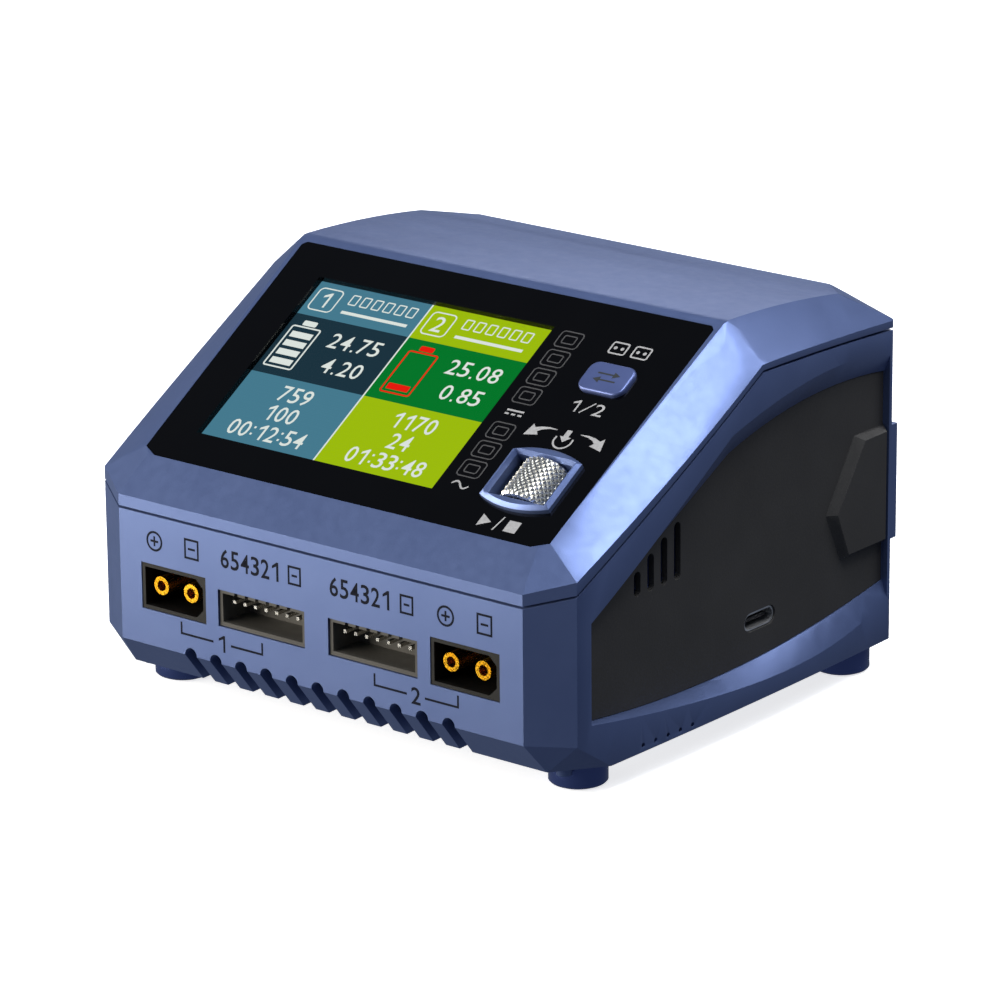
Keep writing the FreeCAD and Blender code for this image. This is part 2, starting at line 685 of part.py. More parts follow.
def make_bezel():
    """The raised frame round the roller, with sloping inner and outer edges."""
    base = bezel_prism(0, -LENS_T + 0.02, BEZEL_TOP_W - 0.7)
    rim = Part.makeLoft([Part.Wire(bezel_outline(0, BEZEL_TOP_W - 0.7)),
                         Part.Wire(bezel_outline(-0.7, BEZEL_TOP_W))], True, True)
    opening = box(ROLLER_U - 6.3, ROLLER_U + 6.3, ROLLER_V - 4.9, ROLLER_V + 4.9, -3, 3)
    flare = Part.makeLoft([rectangle(6.3, 4.9, BEZEL_TOP_W - 0.9), rectangle(6.9, 5.5, BEZEL_TOP_W + 0.1)],
                          True, True)
    return on_slope(join([base, rim]).cut(opening).cut(flare))


def rectangle(half_u, half_v, w):
    """A closed rectangle round the roller's centre at one depth."""
    corners = [V(ROLLER_U + a * half_u, ROLLER_V + b * half_v, w)
               for a, b in ((-1, -1), (1, -1), (1, 1), (-1, 1))]
    return Part.makePolygon(corners + corners[:1])


# ---- Roller assembly --------------------------------------------------------------------------

EAR_T = 1.4
EAR_OFFSET = ROLLER_LENGTH / 2 + 0.35
CRADLE_HALF_U = 3.4
CRADLE_FLOOR_W = -11.6
BASE_FLOOR_W = -15.2


def make_roller():
    """The roller: a drum with chamfered rims and a ring of shallow grip grooves."""
    v0 = ROLLER_V - ROLLER_LENGTH / 2
    drum = cylinder(ROLLER_R, ROLLER_LENGTH, (ROLLER_U, v0, ROLLER_W), Y_AXIS)
    rims = [e for e in drum.Edges if e.BoundBox.YLength < 0.1]
    drum = drum.makeChamfer(0.5, rims)
    grooves = 28
    for i in range(grooves):
        angle = 2 * math.pi * i / grooves
        u = ROLLER_U + ROLLER_R * math.cos(angle)
        w = ROLLER_W + ROLLER_R * math.sin(angle)
        drum = drum.cut(cylinder(0.22, ROLLER_LENGTH + 1, (u, v0 - 0.5, w), Y_AXIS))
    return on_slope(drum.cut(cylinder(SHAFT_R, ROLLER_LENGTH + 2, (ROLLER_U, v0 - 1, ROLLER_W), Y_AXIS)))


def make_shaft():
    """The roller's axle, which ends in the two ears of the cradle."""
    half = EAR_OFFSET + EAR_T
    return on_slope(cylinder(SHAFT_R, 2 * half, (ROLLER_U, ROLLER_V - half, ROLLER_W), Y_AXIS))


def make_cradle():
    """The sprung cradle: a floor and two ears that hold the roller's axle."""
    half_v = EAR_OFFSET + EAR_T
    floor = box(ROLLER_U - CRADLE_HALF_U, ROLLER_U + CRADLE_HALF_U, ROLLER_V - half_v, ROLLER_V + half_v,
                CRADLE_FLOOR_W, CRADLE_FLOOR_W + 1.6)
    ears = []
    for v0 in (ROLLER_V - half_v, ROLLER_V + EAR_OFFSET):
        ears.append(box(ROLLER_U - CRADLE_HALF_U, ROLLER_U + CRADLE_HALF_U, v0, v0 + EAR_T,
                        CRADLE_FLOOR_W, SHELF_W + 0.4))
    cradle = join([floor] + ears)
    bore_start = (ROLLER_U, ROLLER_V - half_v - 1, ROLLER_W)
    bore = cylinder(SHAFT_R + SHAFT_CLEARANCE, 2 * half_v + 2, bore_start, Y_AXIS)
    return on_slope(cradle.cut(bore))


def make_encoder_base():
    """The fixed box under the roller, open at the top, hung from the display board."""
    inner_u = ROLLER_R + 0.8
    inner_v = EAR_OFFSET + EAR_T + 0.35
    outer = box(ROLLER_U - inner_u - 1, ROLLER_U + inner_u + 1,
                ROLLER_V - inner_v - 1, ROLLER_V + inner_v + 1,
                BASE_FLOOR_W, BOARD_W - BOARD_T - 0.05)
    inner = box(ROLLER_U - inner_u, ROLLER_U + inner_u, ROLLER_V - inner_v, ROLLER_V + inner_v,
                BASE_FLOOR_W + 1, 0)
    return on_slope(outer.cut(inner))


def make_encoder_switch():
    """The press switch between the cradle and the floor of its box."""
    body = box(ROLLER_U - 2.6, ROLLER_U + 2.6, ROLLER_V - 2.6, ROLLER_V + 2.6,
               BASE_FLOOR_W + 1, CRADLE_FLOOR_W - 1.2)
    dome = cylinder(1.2, 0.5, (ROLLER_U, ROLLER_V, CRADLE_FLOOR_W - 1.2))
    return on_slope(join([body, dome]))


# ---- Display stack ----------------------------------------------------------------------------

def make_display():
    """Screen glass, its frame, the display board and the switch under the button."""
    u0, u1 = LCD_U
    v0, v1 = LCD_V
    glass = slope_box(u0, u1, v0, v1, SHELF_W - 0.6, -LENS_T - 0.1)
    frame = box(u0 - 1.6, u1 + 1.6, v0 - 2.4, v1 + 1.6, BOARD_W + 0.3, SHELF_W - 0.1)
    frame = frame.cut(box(u0 - 0.1, u1 + 0.1, v0 - 0.1, v1 + 0.1, SHELF_W - 0.6, 0))
    board = box(-45, 45, 1.8, 53.0, BOARD_W - BOARD_T, BOARD_W)
    board = board.cut(box(ROLLER_U - ROLLER_R - 0.8, ROLLER_U + ROLLER_R + 0.8,
                          ROLLER_V - 6.9, ROLLER_V + 6.9, -10, 0))
    for u, v in DISPLAY_POSTS:
        board = board.cut(cylinder(0.95, 4, (u, v, BOARD_W - 2)))
    screws = []
    for u, v in DISPLAY_POSTS:
        head = cylinder(1.6, 0.9, (u, v, BOARD_W - BOARD_T - 0.9))
        shank = cylinder(0.8, BOARD_T + 3.2, (u, v, BOARD_W - BOARD_T))
        screws.append(on_slope(join([head, shank])))
    switch = box(BUTTON_U - 3, BUTTON_U + 3, BUTTON_V - 3, BUTTON_V + 3, BOARD_W, BOARD_W + 1.8)
    switch = switch.cut(cylinder(1.55, 1.5, (BUTTON_U, BUTTON_V, BOARD_W + 0.8)))
    plunger = cylinder(1.5, SHELF_W - 1.1 - BOARD_W - 1.3, (BUTTON_U, BUTTON_V, BOARD_W + 1.3))
    return {
        "lcd_panel": glass, "lcd_frame": on_slope(frame), "display_board": on_slope(board),
        "display_screws": group(screws), "port_switch": on_slope(switch),
        "port_switch_plunger": on_slope(plunger),
    }


RIBBON_Y = 36.0
RIBBON_X = (-6.0, 6.0)


def make_ribbon():
    """The flat ribbon from the display board down to the main board, with its two connectors."""
    plane_z = LENS_Z + (RIBBON_Y - LENS_Y) * math.tan(SLOPE) + (BOARD_W - BOARD_T) / math.cos(SLOPE)
    low = BOARD_TOP + 1.2
    high = plane_z - 1.4
    x0, x1 = RIBBON_X
    thick = 0.3
    ribbon = box(x0, x1, RIBBON_Y, RIBBON_Y + thick, low, high)
    lower = box(x0 - 1, x1 + 1, RIBBON_Y - 1.5, RIBBON_Y + 1.8, BOARD_TOP, BOARD_TOP + 2.4)
    upper = box(x0 - 1, x1 + 1, RIBBON_Y - 1.5, RIBBON_Y + 1.8, high - 1.2, high + 4)
    below_board = half_space(
        V(0, LENS_Y, LENS_Z) + V(0, -math.sin(SLOPE), math.cos(SLOPE)) * (BOARD_W - BOARD_T),
        V(0, -math.sin(SLOPE), math.cos(SLOPE)))
    upper = upper.cut(below_board)
    gap = box(x0, x1, RIBBON_Y, RIBBON_Y + thick, low, high)
    return ribbon, group([lower.cut(gap), upper.cut(gap)])


# ---- Connectors -------------------------------------------------------------------------------

def make_socket(x, face_y, inward):
    """A two-pole bullet socket. inward is +1 when it faces the front, and -1 when it faces the rear."""
    y0 = face_y if inward > 0 else face_y - SOCKET_DEPTH
    shroud = box(x - SOCKET_W / 2, x + SOCKET_W / 2, y0, y0 + SOCKET_DEPTH,
                 SOCKET_Z - SOCKET_H / 2, SOCKET_Z + SOCKET_H / 2)
    cavity_depth = 10.0
    cavity_y = face_y - 1 if inward > 0 else face_y - cavity_depth
    cavity = socket_outline(x, -0.7, cavity_depth + 1, cavity_y)
    shroud = shroud.cut(cavity)
    for pin_x in socket_pin_places(x):
        shroud = shroud.cut(cylinder(SOCKET_PIN_R, SOCKET_DEPTH + 2, (pin_x, y0 - 1, SOCKET_PIN_Z), Y_AXIS))
    return shroud


def socket_pin_places(x):
    """The two pin centres of a socket centred on x."""
    offset = SOCKET_PIN_X - SOCKET_X
    return [x - offset * 4 - SOCKET_PIN_PITCH / 2, x - offset * 4 + SOCKET_PIN_PITCH / 2]


def make_bullets(x, face_y, inward):
    """The two hollow pins of a bullet socket."""
    recess = 1.0
    length = SOCKET_DEPTH - 1.5
    start_y = face_y + recess if inward > 0 else face_y - recess - length
    mouth_y = start_y - 1 if inward > 0 else start_y + length - 7
    pins = []
    for pin_x in socket_pin_places(x):
        pin = cylinder(SOCKET_PIN_R, length, (pin_x, start_y, SOCKET_PIN_Z), Y_AXIS)
        hollow = cylinder(1.0, 8, (pin_x, mouth_y, SOCKET_PIN_Z), Y_AXIS)
        pins.append(pin.cut(hollow))
    return group(pins)


def make_header(x):
    """A seven-way balance header: thin shroud, open at the front, notched along its top."""
    y0 = 0.4
    x0, x1 = x - HEADER_W / 2, x + HEADER_W / 2
    z0, z1 = HEADER_Z - HEADER_H / 2, HEADER_Z + HEADER_H / 2
    shroud = box(x0, x1, y0, y0 + HEADER_DEPTH, z0, z1)
    shroud = shroud.cut(box(x0 + 0.75, x1 - 0.75, y0 - 1, y0 + 7.0, z0 + 0.75, z1 - 0.6))
    for pin_x in header_pin_places(x)[:-1]:
        notch_x = pin_x + HEADER_PIN_PITCH / 2
        shroud = shroud.cut(box(notch_x - 0.4, notch_x + 0.4, y0 - 1, y0 + 3.5, z1 - 1, z1 + 1))
    side = HEADER_PIN_SIDE / 2
    for pin_x in header_pin_places(x):
        shroud = shroud.cut(box(pin_x - side, pin_x + side, y0, y0 + HEADER_DEPTH + 2,
                                HEADER_PIN_Z - side, HEADER_PIN_Z + side))
    return shroud


def header_pin_places(x):
    """The seven pin centres of a header centred on x."""
    return [x + (i - (HEADER_PINS - 1) / 2) * HEADER_PIN_PITCH for i in range(HEADER_PINS)]


def make_header_pins(x):
    """The seven square pins of a header, bent down to the board behind it."""
    side = HEADER_PIN_SIDE / 2
    y0 = 1.4
    y1 = 0.4 + HEADER_DEPTH + 1.0
    pins = []
    for pin_x in header_pin_places(x):
        level = box(pin_x - side, pin_x + side, y0, y1, HEADER_PIN_Z - side, HEADER_PIN_Z + side)
        down = box(pin_x - side, pin_x + side, y1 - 2 * side, y1, BOARD_TOP, HEADER_PIN_Z + side)
        pins.append(join([level, down]))
    return group(pins)


def make_ac_inlet():
    """The mains inlet: a block with a figure-eight cavity, and its two pins."""
    y1 = DEPTH - 0.1
    depth = 19.0
    block = box(AC_X - AC_W / 2, AC_X + AC_W / 2, y1 - depth, y1, AC_Z - AC_H / 2, AC_Z + AC_H / 2)
    cavity_y = y1 - 13.0
    pin_pitch = 8.6
    lobes = [cylinder(4.3, 14, (AC_X + s * pin_pitch / 2, cavity_y, AC_Z), Y_AXIS) for s in (-1, 1)]
    waist = box(AC_X - pin_pitch / 2, AC_X + pin_pitch / 2, cavity_y, cavity_y + 14, AC_Z - 3.4, AC_Z + 3.4)
    block = block.cut(join(lobes + [waist]))
    pins = []
    for s in (-1, 1):
        pin = cylinder(1.2, 15.5, (AC_X + s * pin_pitch / 2, y1 - depth + 0.5, AC_Z), Y_AXIS)
        pins.append(pin)
        block = block.cut(pin)
    foot_top = AC_Z - AC_H / 2 + 1
    feet = [box(AC_X + s * 7 - 1, AC_X + s * 7 + 1, y1 - depth, y1 - depth + 8, POWER_BOARD_TOP, foot_top)
            for s in (-1, 1)]
    return join([block] + feet), group(pins)


def make_usb():
    """The small port on the board's edge: metal shell and inner tongue."""
    x0, x1 = 45.5, 53.2
    shell = rounded_slot(8.94, 3.26, x1 - x0, ((x0 + x1) / 2, PORT_Y, PORT_Z))
    shell = shell.cut(rounded_slot(8.34, 2.66, x1 - x0, ((x0 + x1) / 2 + 1.2, PORT_Y, PORT_Z)))
    tongue = box(x0 + 1.2, x1 - 1.0, PORT_Y - 3.3, PORT_Y + 3.3, PORT_Z - 0.35, PORT_Z + 0.35)
    return shell, tongue


# ---- Boards and what stands on them -----------------------------------------------------------

INDUCTOR_X = (-36.0, -16.0, 16.0, 34.0)
INDUCTOR_Y = 26.5
CAPACITOR_X = (-40.0, -30.0, -20.0, 16.0, 26.0, 36.0)
CAPACITOR_Y = 38.2
POST_PLACES = [(x, y) for x in (2.0, 42.0) for y in (46.5, 89.0)]
SINK = (-44.0, -6.0, 46.0, 80.0)
TRANSISTOR_T = 1.6
SHEET_T = 0.4


def make_main_board():
    """The main board, with a tab under the small port and holes for its screws."""
    board = box(-BOARD_HALF_W, BOARD_HALF_W, 3.2, 92.5, BOARD_Z, BOARD_TOP)
    tab = box(BOARD_HALF_W - 1, 50.8, PORT_Y - 6, PORT_Y + 6, BOARD_Z, BOARD_TOP)
    board = join([board, tab])
    for x, y in BOSS_PLACES:
        board = board.cut(cylinder(1.25, 4, (x, y, BOARD_Z - 1)))
    return board


def make_board_screws():
    """The four screws of the main board."""
    screws = []
    for x, y in BOSS_PLACES:
        head = cylinder(2.2, 1.3, (x, y, BOARD_TOP))
        shank = cylinder(1.0, BOARD_TOP - BOARD_Z + 5.0, (x, y, BOARD_Z - 5.0))
        screws.append(join([head, shank]))
    return group(screws)


def make_insulation_sheet():
    """The thin sheet under the main board, with clearance round the bosses."""
    sheet = box(-BOARD_HALF_W + 1, BOARD_HALF_W - 1, 16.0, 92.0, BOARD_Z - SHEET_T - 0.2, BOARD_Z - 0.2)
    for x, y in BOSS_PLACES:
        sheet = sheet.cut(cylinder(2.9, 4, (x, y, BOARD_Z - 2)))
    return sheet


def make_heat_sink():
    """The finned heat sink, with its fins along the air flow, and the transistors under it."""
    x0, x1, y0, y1 = SINK
    base_z = BOARD_TOP + TRANSISTOR_T
    base_t = 2.5
    fin_top = base_z + 17.0
    fins = 10
    pitch = (x1 - x0 - 1.2) / (fins - 1)
    pieces = [box(x0, x1, y0, y1, base_z, base_z + base_t)]
    pieces += [box(x0 + i * pitch, x0 + i * pitch + 1.2, y0, y1, base_z, fin_top) for i in range(fins)]
    chips = []
    for x in (-39.0, -30.0, -21.0, -12.0):
        for y in (52.0, 62.0, 72.0):
            chips.append(box(x - 2.6, x + 2.6, y - 3, y + 3, BOARD_TOP, base_z))
    return join(pieces), group(chips)


def make_inductors():
    """Four drum inductors: cores, and the copper round them."""
    cores = []
    coils = []
    for x in INDUCTOR_X:
        low = cylinder(5.6, 1.4, (x, INDUCTOR_Y, BOARD_TOP))
        neck = cylinder(3.2, 9.0, (x, INDUCTOR_Y, BOARD_TOP))
        high = cylinder(5.6, 1.4, (x, INDUCTOR_Y, BOARD_TOP + 7.6))
        cores.append(join([low, neck, high]))
        coils.append(tube(5.0, 3.2, 6.2, (x, INDUCTOR_Y, BOARD_TOP + 1.4)))
    return group(cores), group(coils)


def make_capacitor(x, y, z, radius, height):
    """One upright electrolytic capacitor with a crimped neck."""
    can = cylinder(radius, height, (x, y, z))
    rims = [e for e in can.Edges if e.BoundBox.ZLength < 0.1]
    can = can.makeFillet(0.5, rims)
    groove = tube(radius + 1, radius - 0.3, 0.8, (x, y, z + 2.0))
    return can.cut(groove)


def make_power_board():
    """The mains supply board, raised over the main board on four posts."""
    board = box(-1.5, BOARD_HALF_W - 0.3, 43.0, 93.0, POWER_BOARD_Z, POWER_BOARD_TOP)
    posts = []
    for x, y in POST_PLACES:
        board = board.cut(cylinder(1.3, 4, (x, y, POWER_BOARD_Z - 1)))
        post = tube(2.3, 1.0, POWER_BOARD_Z - BOARD_TOP, (x, y, BOARD_TOP))
        posts.append(post)
    return board, group(posts)


def make_transformer():
    """The transformer: a core of two legs and yokes round a wound bobbin."""
    x0, x1, y0, y1 = 4.0, 24.0, 52.0, 74.0
    z0 = POWER_BOARD_TOP
    height = 18.0
    core = box(x0, x1, y0 + 5, y1 - 5, z0 + 1, z0 + height)
    core = core.cut(box(x0 + 4, x1 - 4, y0, y1, z0 + 4.5, z0 + height - 3.5))
    bobbin = box(x0 + 1, x1 - 1, y0, y1, z0, z0 + 1)
    bobbin = bobbin.fuse(box(x0 + 4.3, x1 - 4.3, y0 + 1, y1 - 1, z0 + 4.8, z0 + height - 3.8))
    windings = bobbin.Solids
    return core, group(windings)


# ---- Fan --------------------------------------------------------------------------------------

def make_fan():
    """Fan frame with its bearing pin, and the rotor: a hub with swept blades."""
    half = FAN_SIZE / 2
    frame = box(FAN_X - half, FAN_X + half, FAN_Y, FAN_Y + FAN_DEPTH, FAN_Z - half, FAN_Z + half)
    uprights = [e for e in frame.Edges if e.BoundBox.YLength > FAN_DEPTH - 0.1]
    frame = frame.makeFillet(2.5, uprights)
    frame = frame.cut(cylinder(FAN_BORE_R, FAN_DEPTH + 2, (FAN_X, FAN_Y - 1, FAN_Z), Y_AXIS))
    struts = [cylinder(HUB_R - 1, 1.6, (FAN_X, FAN_Y + FAN_DEPTH - 1.6, FAN_Z), Y_AXIS)]
    for i in range(3):
        strut = box(FAN_X - 1.1, FAN_X + 1.1, FAN_Y + FAN_DEPTH - 1.6, FAN_Y + FAN_DEPTH,
                    FAN_Z, FAN_Z + FAN_BORE_R + 0.5)
        strut.rotate(V(FAN_X, 0, FAN_Z), Y_AXIS, 90 + 120 * i)
        struts.append(strut)
    struts.append(cylinder(FAN_AXLE_R, FAN_DEPTH - 2, (FAN_X, FAN_Y + 1.6, FAN_Z), Y_AXIS))
    frame = join([frame] + struts)
    for x, z in fan_holes():
        frame = frame.cut(cylinder(1.6, FAN_DEPTH + 2, (x, FAN_Y - 1, z), Y_AXIS))
    rotor_y = FAN_Y + 0.8
    rotor_depth = FAN_DEPTH - 3.2
    hub = cylinder(HUB_R, rotor_depth, (FAN_X, rotor_y, FAN_Z), Y_AXIS)
    blades = [hub]
    ring = tube(BLADE_R, HUB_R - 1, rotor_depth, (FAN_X, rotor_y, FAN_Z), Y_AXIS)
    for i in range(BLADES):
        blade = box(-4.6, 4.6, -0.45, 0.45, HUB_R - 1.5, BLADE_R + 1)
        blade.rotate(ORIGIN, Z_AXIS, 38)
        blade.translate(V(FAN_X, rotor_y + rotor_depth / 2, FAN_Z))
        blade.rotate(V(FAN_X, 0, FAN_Z), Y_AXIS, 360.0 * i / BLADES)
        blades.append(blade.common(ring))
    rotor = join(blades)
    bore = cylinder(FAN_AXLE_R + SHAFT_CLEARANCE, rotor_depth + 2, (FAN_X, rotor_y + 0.6, FAN_Z), Y_AXIS)
    return frame, rotor.cut(bore)


def fan_holes():
    """The centres of the fan's four corner holes."""
    half = FAN_HOLE_PITCH / 2
    return [(FAN_X + a * half, FAN_Z + b * half) for a in (-1, 1) for b in (-1, 1)]


def make_fan_screws():
    """The four screws that hold the fan to the rear panel and the case."""
    screws = []
    for x, z in fan_holes():
        head = cylinder(2.4, 1.2, (x, DEPTH - 0.2, z), Y_AXIS)
        shank = cylinder(1.45, DEPTH - 0.2 - FAN_Y - 1.0, (x, FAN_Y + 1.0, z), Y_AXIS)
        screws.append(join([head, shank]))
    return group(screws)


def make_rear_panel():
    """The rear plate: ring-shaped fan grille, two inlet openings and four screw holes."""
    x0, x1, z0, z1 = REAR_PANEL
    plate = box(x0 + FIT, x1 - FIT, PANEL_POCKET_Y + FIT, DEPTH - 0.2, z0 + FIT, z1 - FIT)
    uprights = [e for e in plate.Edges if e.BoundBox.YLength > 1 and e.BoundBox.XLength < 0.1
                and e.BoundBox.ZLength < 0.1]
    plate = plate.makeFillet(1.5, uprights)
    for inner in (4.5, 9.3, 14.1):
        ring = tube(inner + 3.2, inner, 6, (FAN_X, DEPTH - 4, FAN_Z), Y_AXIS)
        for k in range(4):
            spoke = box(FAN_X - 0.9, FAN_X + 0.9, DEPTH - 5, DEPTH + 3, FAN_Z, FAN_Z + FAN_BORE_R)
            spoke.rotate(V(FAN_X, 0, FAN_Z), Y_AXIS, 45 + 90 * k)
            ring = ring.cut(spoke)
        plate = plate.cut(ring)
    plate = plate.cut(box(AC_X - AC_W / 2 - FIT, AC_X + AC_W / 2 + FIT, DEPTH - 5, DEPTH + 3,
                          AC_Z - AC_H / 2 - FIT, AC_Z + AC_H / 2 + FIT))
    plate = plate.cut(box(DC_X - SOCKET_W / 2 - FIT, DC_X + SOCKET_W / 2 + FIT, DEPTH - 5, DEPTH + 3,
                          SOCKET_Z - SOCKET_H / 2 - FIT, SOCKET_Z + SOCKET_H / 2 + FIT))
    for x, z in fan_holes():
        plate = plate.cut(cylinder(1.6, 6, (x, DEPTH - 4, z), Y_AXIS))
    return plate


# ---- Feet and case screws ---------------------------------------------------------------------

def make_foot(x, y):
    """A round foot with a recess for its rubber disc, shaped on top to the case's underside."""
    foot = cylinder(FOOT_R, FOOT_HEIGHT - 0.3 + 8, (x, y, -FOOT_HEIGHT + 0.3))
    lower_rim = [e for e in foot.Edges if e.BoundBox.ZMax < -FOOT_HEIGHT + 0.4]
    foot = foot.makeChamfer(0.35, lower_rim)
    foot = foot.cut(cylinder(FOOT_R - 1.0, 1.0, (x, y, -FOOT_HEIGHT + 0.3)))
    foot = foot.cut(OUTER).cut(box(-60, 60, -5, 110, 5, 30))
    return max(foot.Solids, key=lambda s: s.Volume)


def make_foot_pads():
    """The rubber disc in each foot, which stands on the table."""
    return group([cylinder(FOOT_R - 1.05, 1.25, (x, y, -FOOT_HEIGHT)) for x, y in FOOT_PLACES.values()])


def make_case_screws():
    """The four long screws that clamp the two shells together."""
    screws = []
    for x, y in COLUMN_PLACES:
        head = cylinder(2.2, 1.0, (x, y, 0.6))
        shank = cylinder(1.2, COLUMN_SPLIT_Z + 7.7, (x, y, 0.6))
        screws.append(join([head, shank]))
    return group(screws)


# ---- Assembly ---------------------------------------------------------------------------------

def build_parts():
    """Every node by name."""
    parts = {
        "lower_case": make_lower_case(),
        "upper_cover": make_upper_cover(),
        "side_panel_right": make_side_panel(True),
        "side_panel_left": mirrored(make_side_panel(False)),
        "rear_panel": make_rear_panel(),
        "foot_pads": make_foot_pads(),
        "case_screws": make_case_screws(),
        "display_lens": make_lens(),
        "roller_bezel": make_bezel(),
        "port_button": make_button(),
        "encoder_roller": make_roller(),
        "encoder_shaft": make_shaft(),
        "encoder_carrier": make_cradle(),
        "encoder_base": make_encoder_base(),
        "encoder_switch": make_encoder_switch(),
        "main_board": make_main_board(),
        "board_screws": make_board_screws(),
        "insulation_sheet": make_insulation_sheet(),
        "control_chip": box(8, 18, 62, 72, BOARD_TOP, BOARD_TOP + 1.2),
        "buzzer": tube(4.6, 0.8, 5.0, (31, 62, BOARD_TOP)),
        "mains_capacitor": make_capacitor(34.5, 60.0, POWER_BOARD_TOP, 8.0, 19.0),
        "mains_fuse": cylinder(2.6, 14.0, (29, 74, POWER_BOARD_TOP + 2.6), X_AXIS),
    }
    parts.update(make_display())
    for place, (x, y) in FOOT_PLACES.items():
        parts["foot_" + place] = make_foot(x, y)
    for name, side in SOCKETS.items():
        parts["power_socket_" + name] = make_socket(side * SOCKET_X, 0.15, 1)
        parts["power_pins_" + name] = make_bullets(side * SOCKET_X, 0.15, 1)
        parts["balance_header_" + name] = make_header(side * HEADER_X)
        parts["balance_pins_" + name] = make_header_pins(side * HEADER_X)
    parts["dc_input_socket"] = make_socket(DC_X, DEPTH - 0.1, -1)
    parts["dc_input_pins"] = make_bullets(DC_X, DEPTH - 0.1, -1)
    parts["ac_inlet"], parts["ac_inlet_pins"] = make_ac_inlet()
    parts["usb_port"], parts["usb_tongue"] = make_usb()
    parts["heat_sink"], parts["power_transistors"] = make_heat_sink()
    parts["inductor_cores"], parts["inductor_windings"] = make_inductors()
    parts["filter_capacitors"] = group(
        [make_capacitor(x, CAPACITOR_Y, BOARD_TOP, 4.0, 12.0) for x in CAPACITOR_X])
    parts["power_board"], parts["power_board_posts"] = make_power_board()
    parts["transformer_core"], parts["transformer_winding"] = make_transformer()
    parts["fan_frame"], parts["fan_rotor"] = make_fan()
    parts["fan_screws"] = make_fan_screws()
    parts["ribbon_cable"], parts["ribbon_connectors"] = make_ribbon()
    return parts


def export(parts):
    """Moves every part to the part frame and writes one STEP file for each."""
    os.makedirs("parts", exist_ok=True)
    shift = V(0, -GUARD_DEPTH / 2, FOOT_HEIGHT)
    for name, shape in parts.items():
        moved = shape.copy()
        moved.translate(shift)
        moved.exportStep("parts/" + name + ".step")
        print(name, moved.isValid(), len(moved.Solids), moved.BoundBox)


export(build_parts())
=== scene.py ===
import json
import math

import bmesh
import bpy
from mathutils import Matrix, Vector


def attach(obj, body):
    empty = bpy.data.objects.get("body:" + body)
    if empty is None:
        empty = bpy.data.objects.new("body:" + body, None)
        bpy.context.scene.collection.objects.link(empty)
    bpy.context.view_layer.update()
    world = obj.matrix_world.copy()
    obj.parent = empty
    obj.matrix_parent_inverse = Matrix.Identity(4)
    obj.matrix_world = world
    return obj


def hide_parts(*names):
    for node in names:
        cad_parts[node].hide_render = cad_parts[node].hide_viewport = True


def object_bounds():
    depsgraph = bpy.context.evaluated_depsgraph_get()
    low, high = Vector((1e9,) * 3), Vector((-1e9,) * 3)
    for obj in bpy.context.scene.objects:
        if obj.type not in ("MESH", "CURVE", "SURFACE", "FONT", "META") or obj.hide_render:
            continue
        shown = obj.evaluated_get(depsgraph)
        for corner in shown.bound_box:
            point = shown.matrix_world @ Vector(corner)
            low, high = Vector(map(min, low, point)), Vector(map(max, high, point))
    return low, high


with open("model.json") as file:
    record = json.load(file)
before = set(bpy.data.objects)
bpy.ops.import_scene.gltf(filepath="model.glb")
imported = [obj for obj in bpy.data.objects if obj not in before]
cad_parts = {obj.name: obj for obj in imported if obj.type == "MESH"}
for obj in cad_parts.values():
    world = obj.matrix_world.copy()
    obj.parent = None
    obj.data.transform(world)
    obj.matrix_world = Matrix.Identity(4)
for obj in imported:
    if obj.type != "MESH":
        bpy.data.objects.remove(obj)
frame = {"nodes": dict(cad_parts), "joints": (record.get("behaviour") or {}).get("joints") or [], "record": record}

MM = 0.001
FOOT_HEIGHT = 5.3       # the feet's height, from which the front's marks are measured
cad_low, cad_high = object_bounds()
nodes = frame["nodes"]
scene = bpy.context.scene

# ---- The sloped face's own frame ----------------------------------------------------------------
# u runs to the right, v up the slope and w out of it, all in millimetres. v is 0 at the lens's
# lower edge, and w is 0 on its front.

roller_turn = next(j for j in frame["joints"] if j["name"] == "roller_turn")
U_AXIS = Vector((1, 0, 0))
V_AXIS = Vector(roller_turn["axis"]).normalized()
W_AXIS = U_AXIS.cross(V_AXIS)


def lens_origin():
    """The point on the lens's front, at its lower edge, in the middle of its width."""
    points = [v.co for v in nodes["display_lens"].data.vertices]
    w = max(p.dot(W_AXIS) for p in points)
    v = min(p.dot(V_AXIS) for p in points if p.dot(W_AXIS) > w - 0.01 * MM)
    return V_AXIS * v + W_AXIS * w


def plane_matrix(origin, x_axis, y_axis):
    """Takes points in millimetres, drawn in a plane, to the row frame."""
    z_axis = x_axis.cross(y_axis)
    turn = Matrix((x_axis, y_axis, z_axis)).transposed().to_4x4()
    return Matrix.Translation(origin) @ turn @ Matrix.Scale(MM, 4)


SLOPE = plane_matrix(lens_origin(), U_AXIS, V_AXIS)
TO_SLOPE = SLOPE.inverted()
FRONT = plane_matrix(Vector((0, cad_low.y, cad_low.z + FOOT_HEIGHT * MM)), U_AXIS, Vector((0, 0, 1)))


def slope_span(node):
    """Lowest and highest (u, v, w) of a CAD node."""
    points = [TO_SLOPE @ v.co for v in nodes[node].data.vertices]
    low = Vector([min(p[i] for p in points) for i in range(3)])
    high = Vector([max(p[i] for p in points) for i in range(3)])
    return low, high


# ---- Materials ----------------------------------------------------------------------------------

def srgb(r, g, b):
    """A colour given as 0 to 255 on screen, as the linear values that shaders take."""
    def linear(c):
        c = c / 255
        return c / 12.92 if c <= 0.04045 else ((c + 0.055) / 1.055) ** 2.4
    return (linear(r), linear(g), linear(b), 1.0)


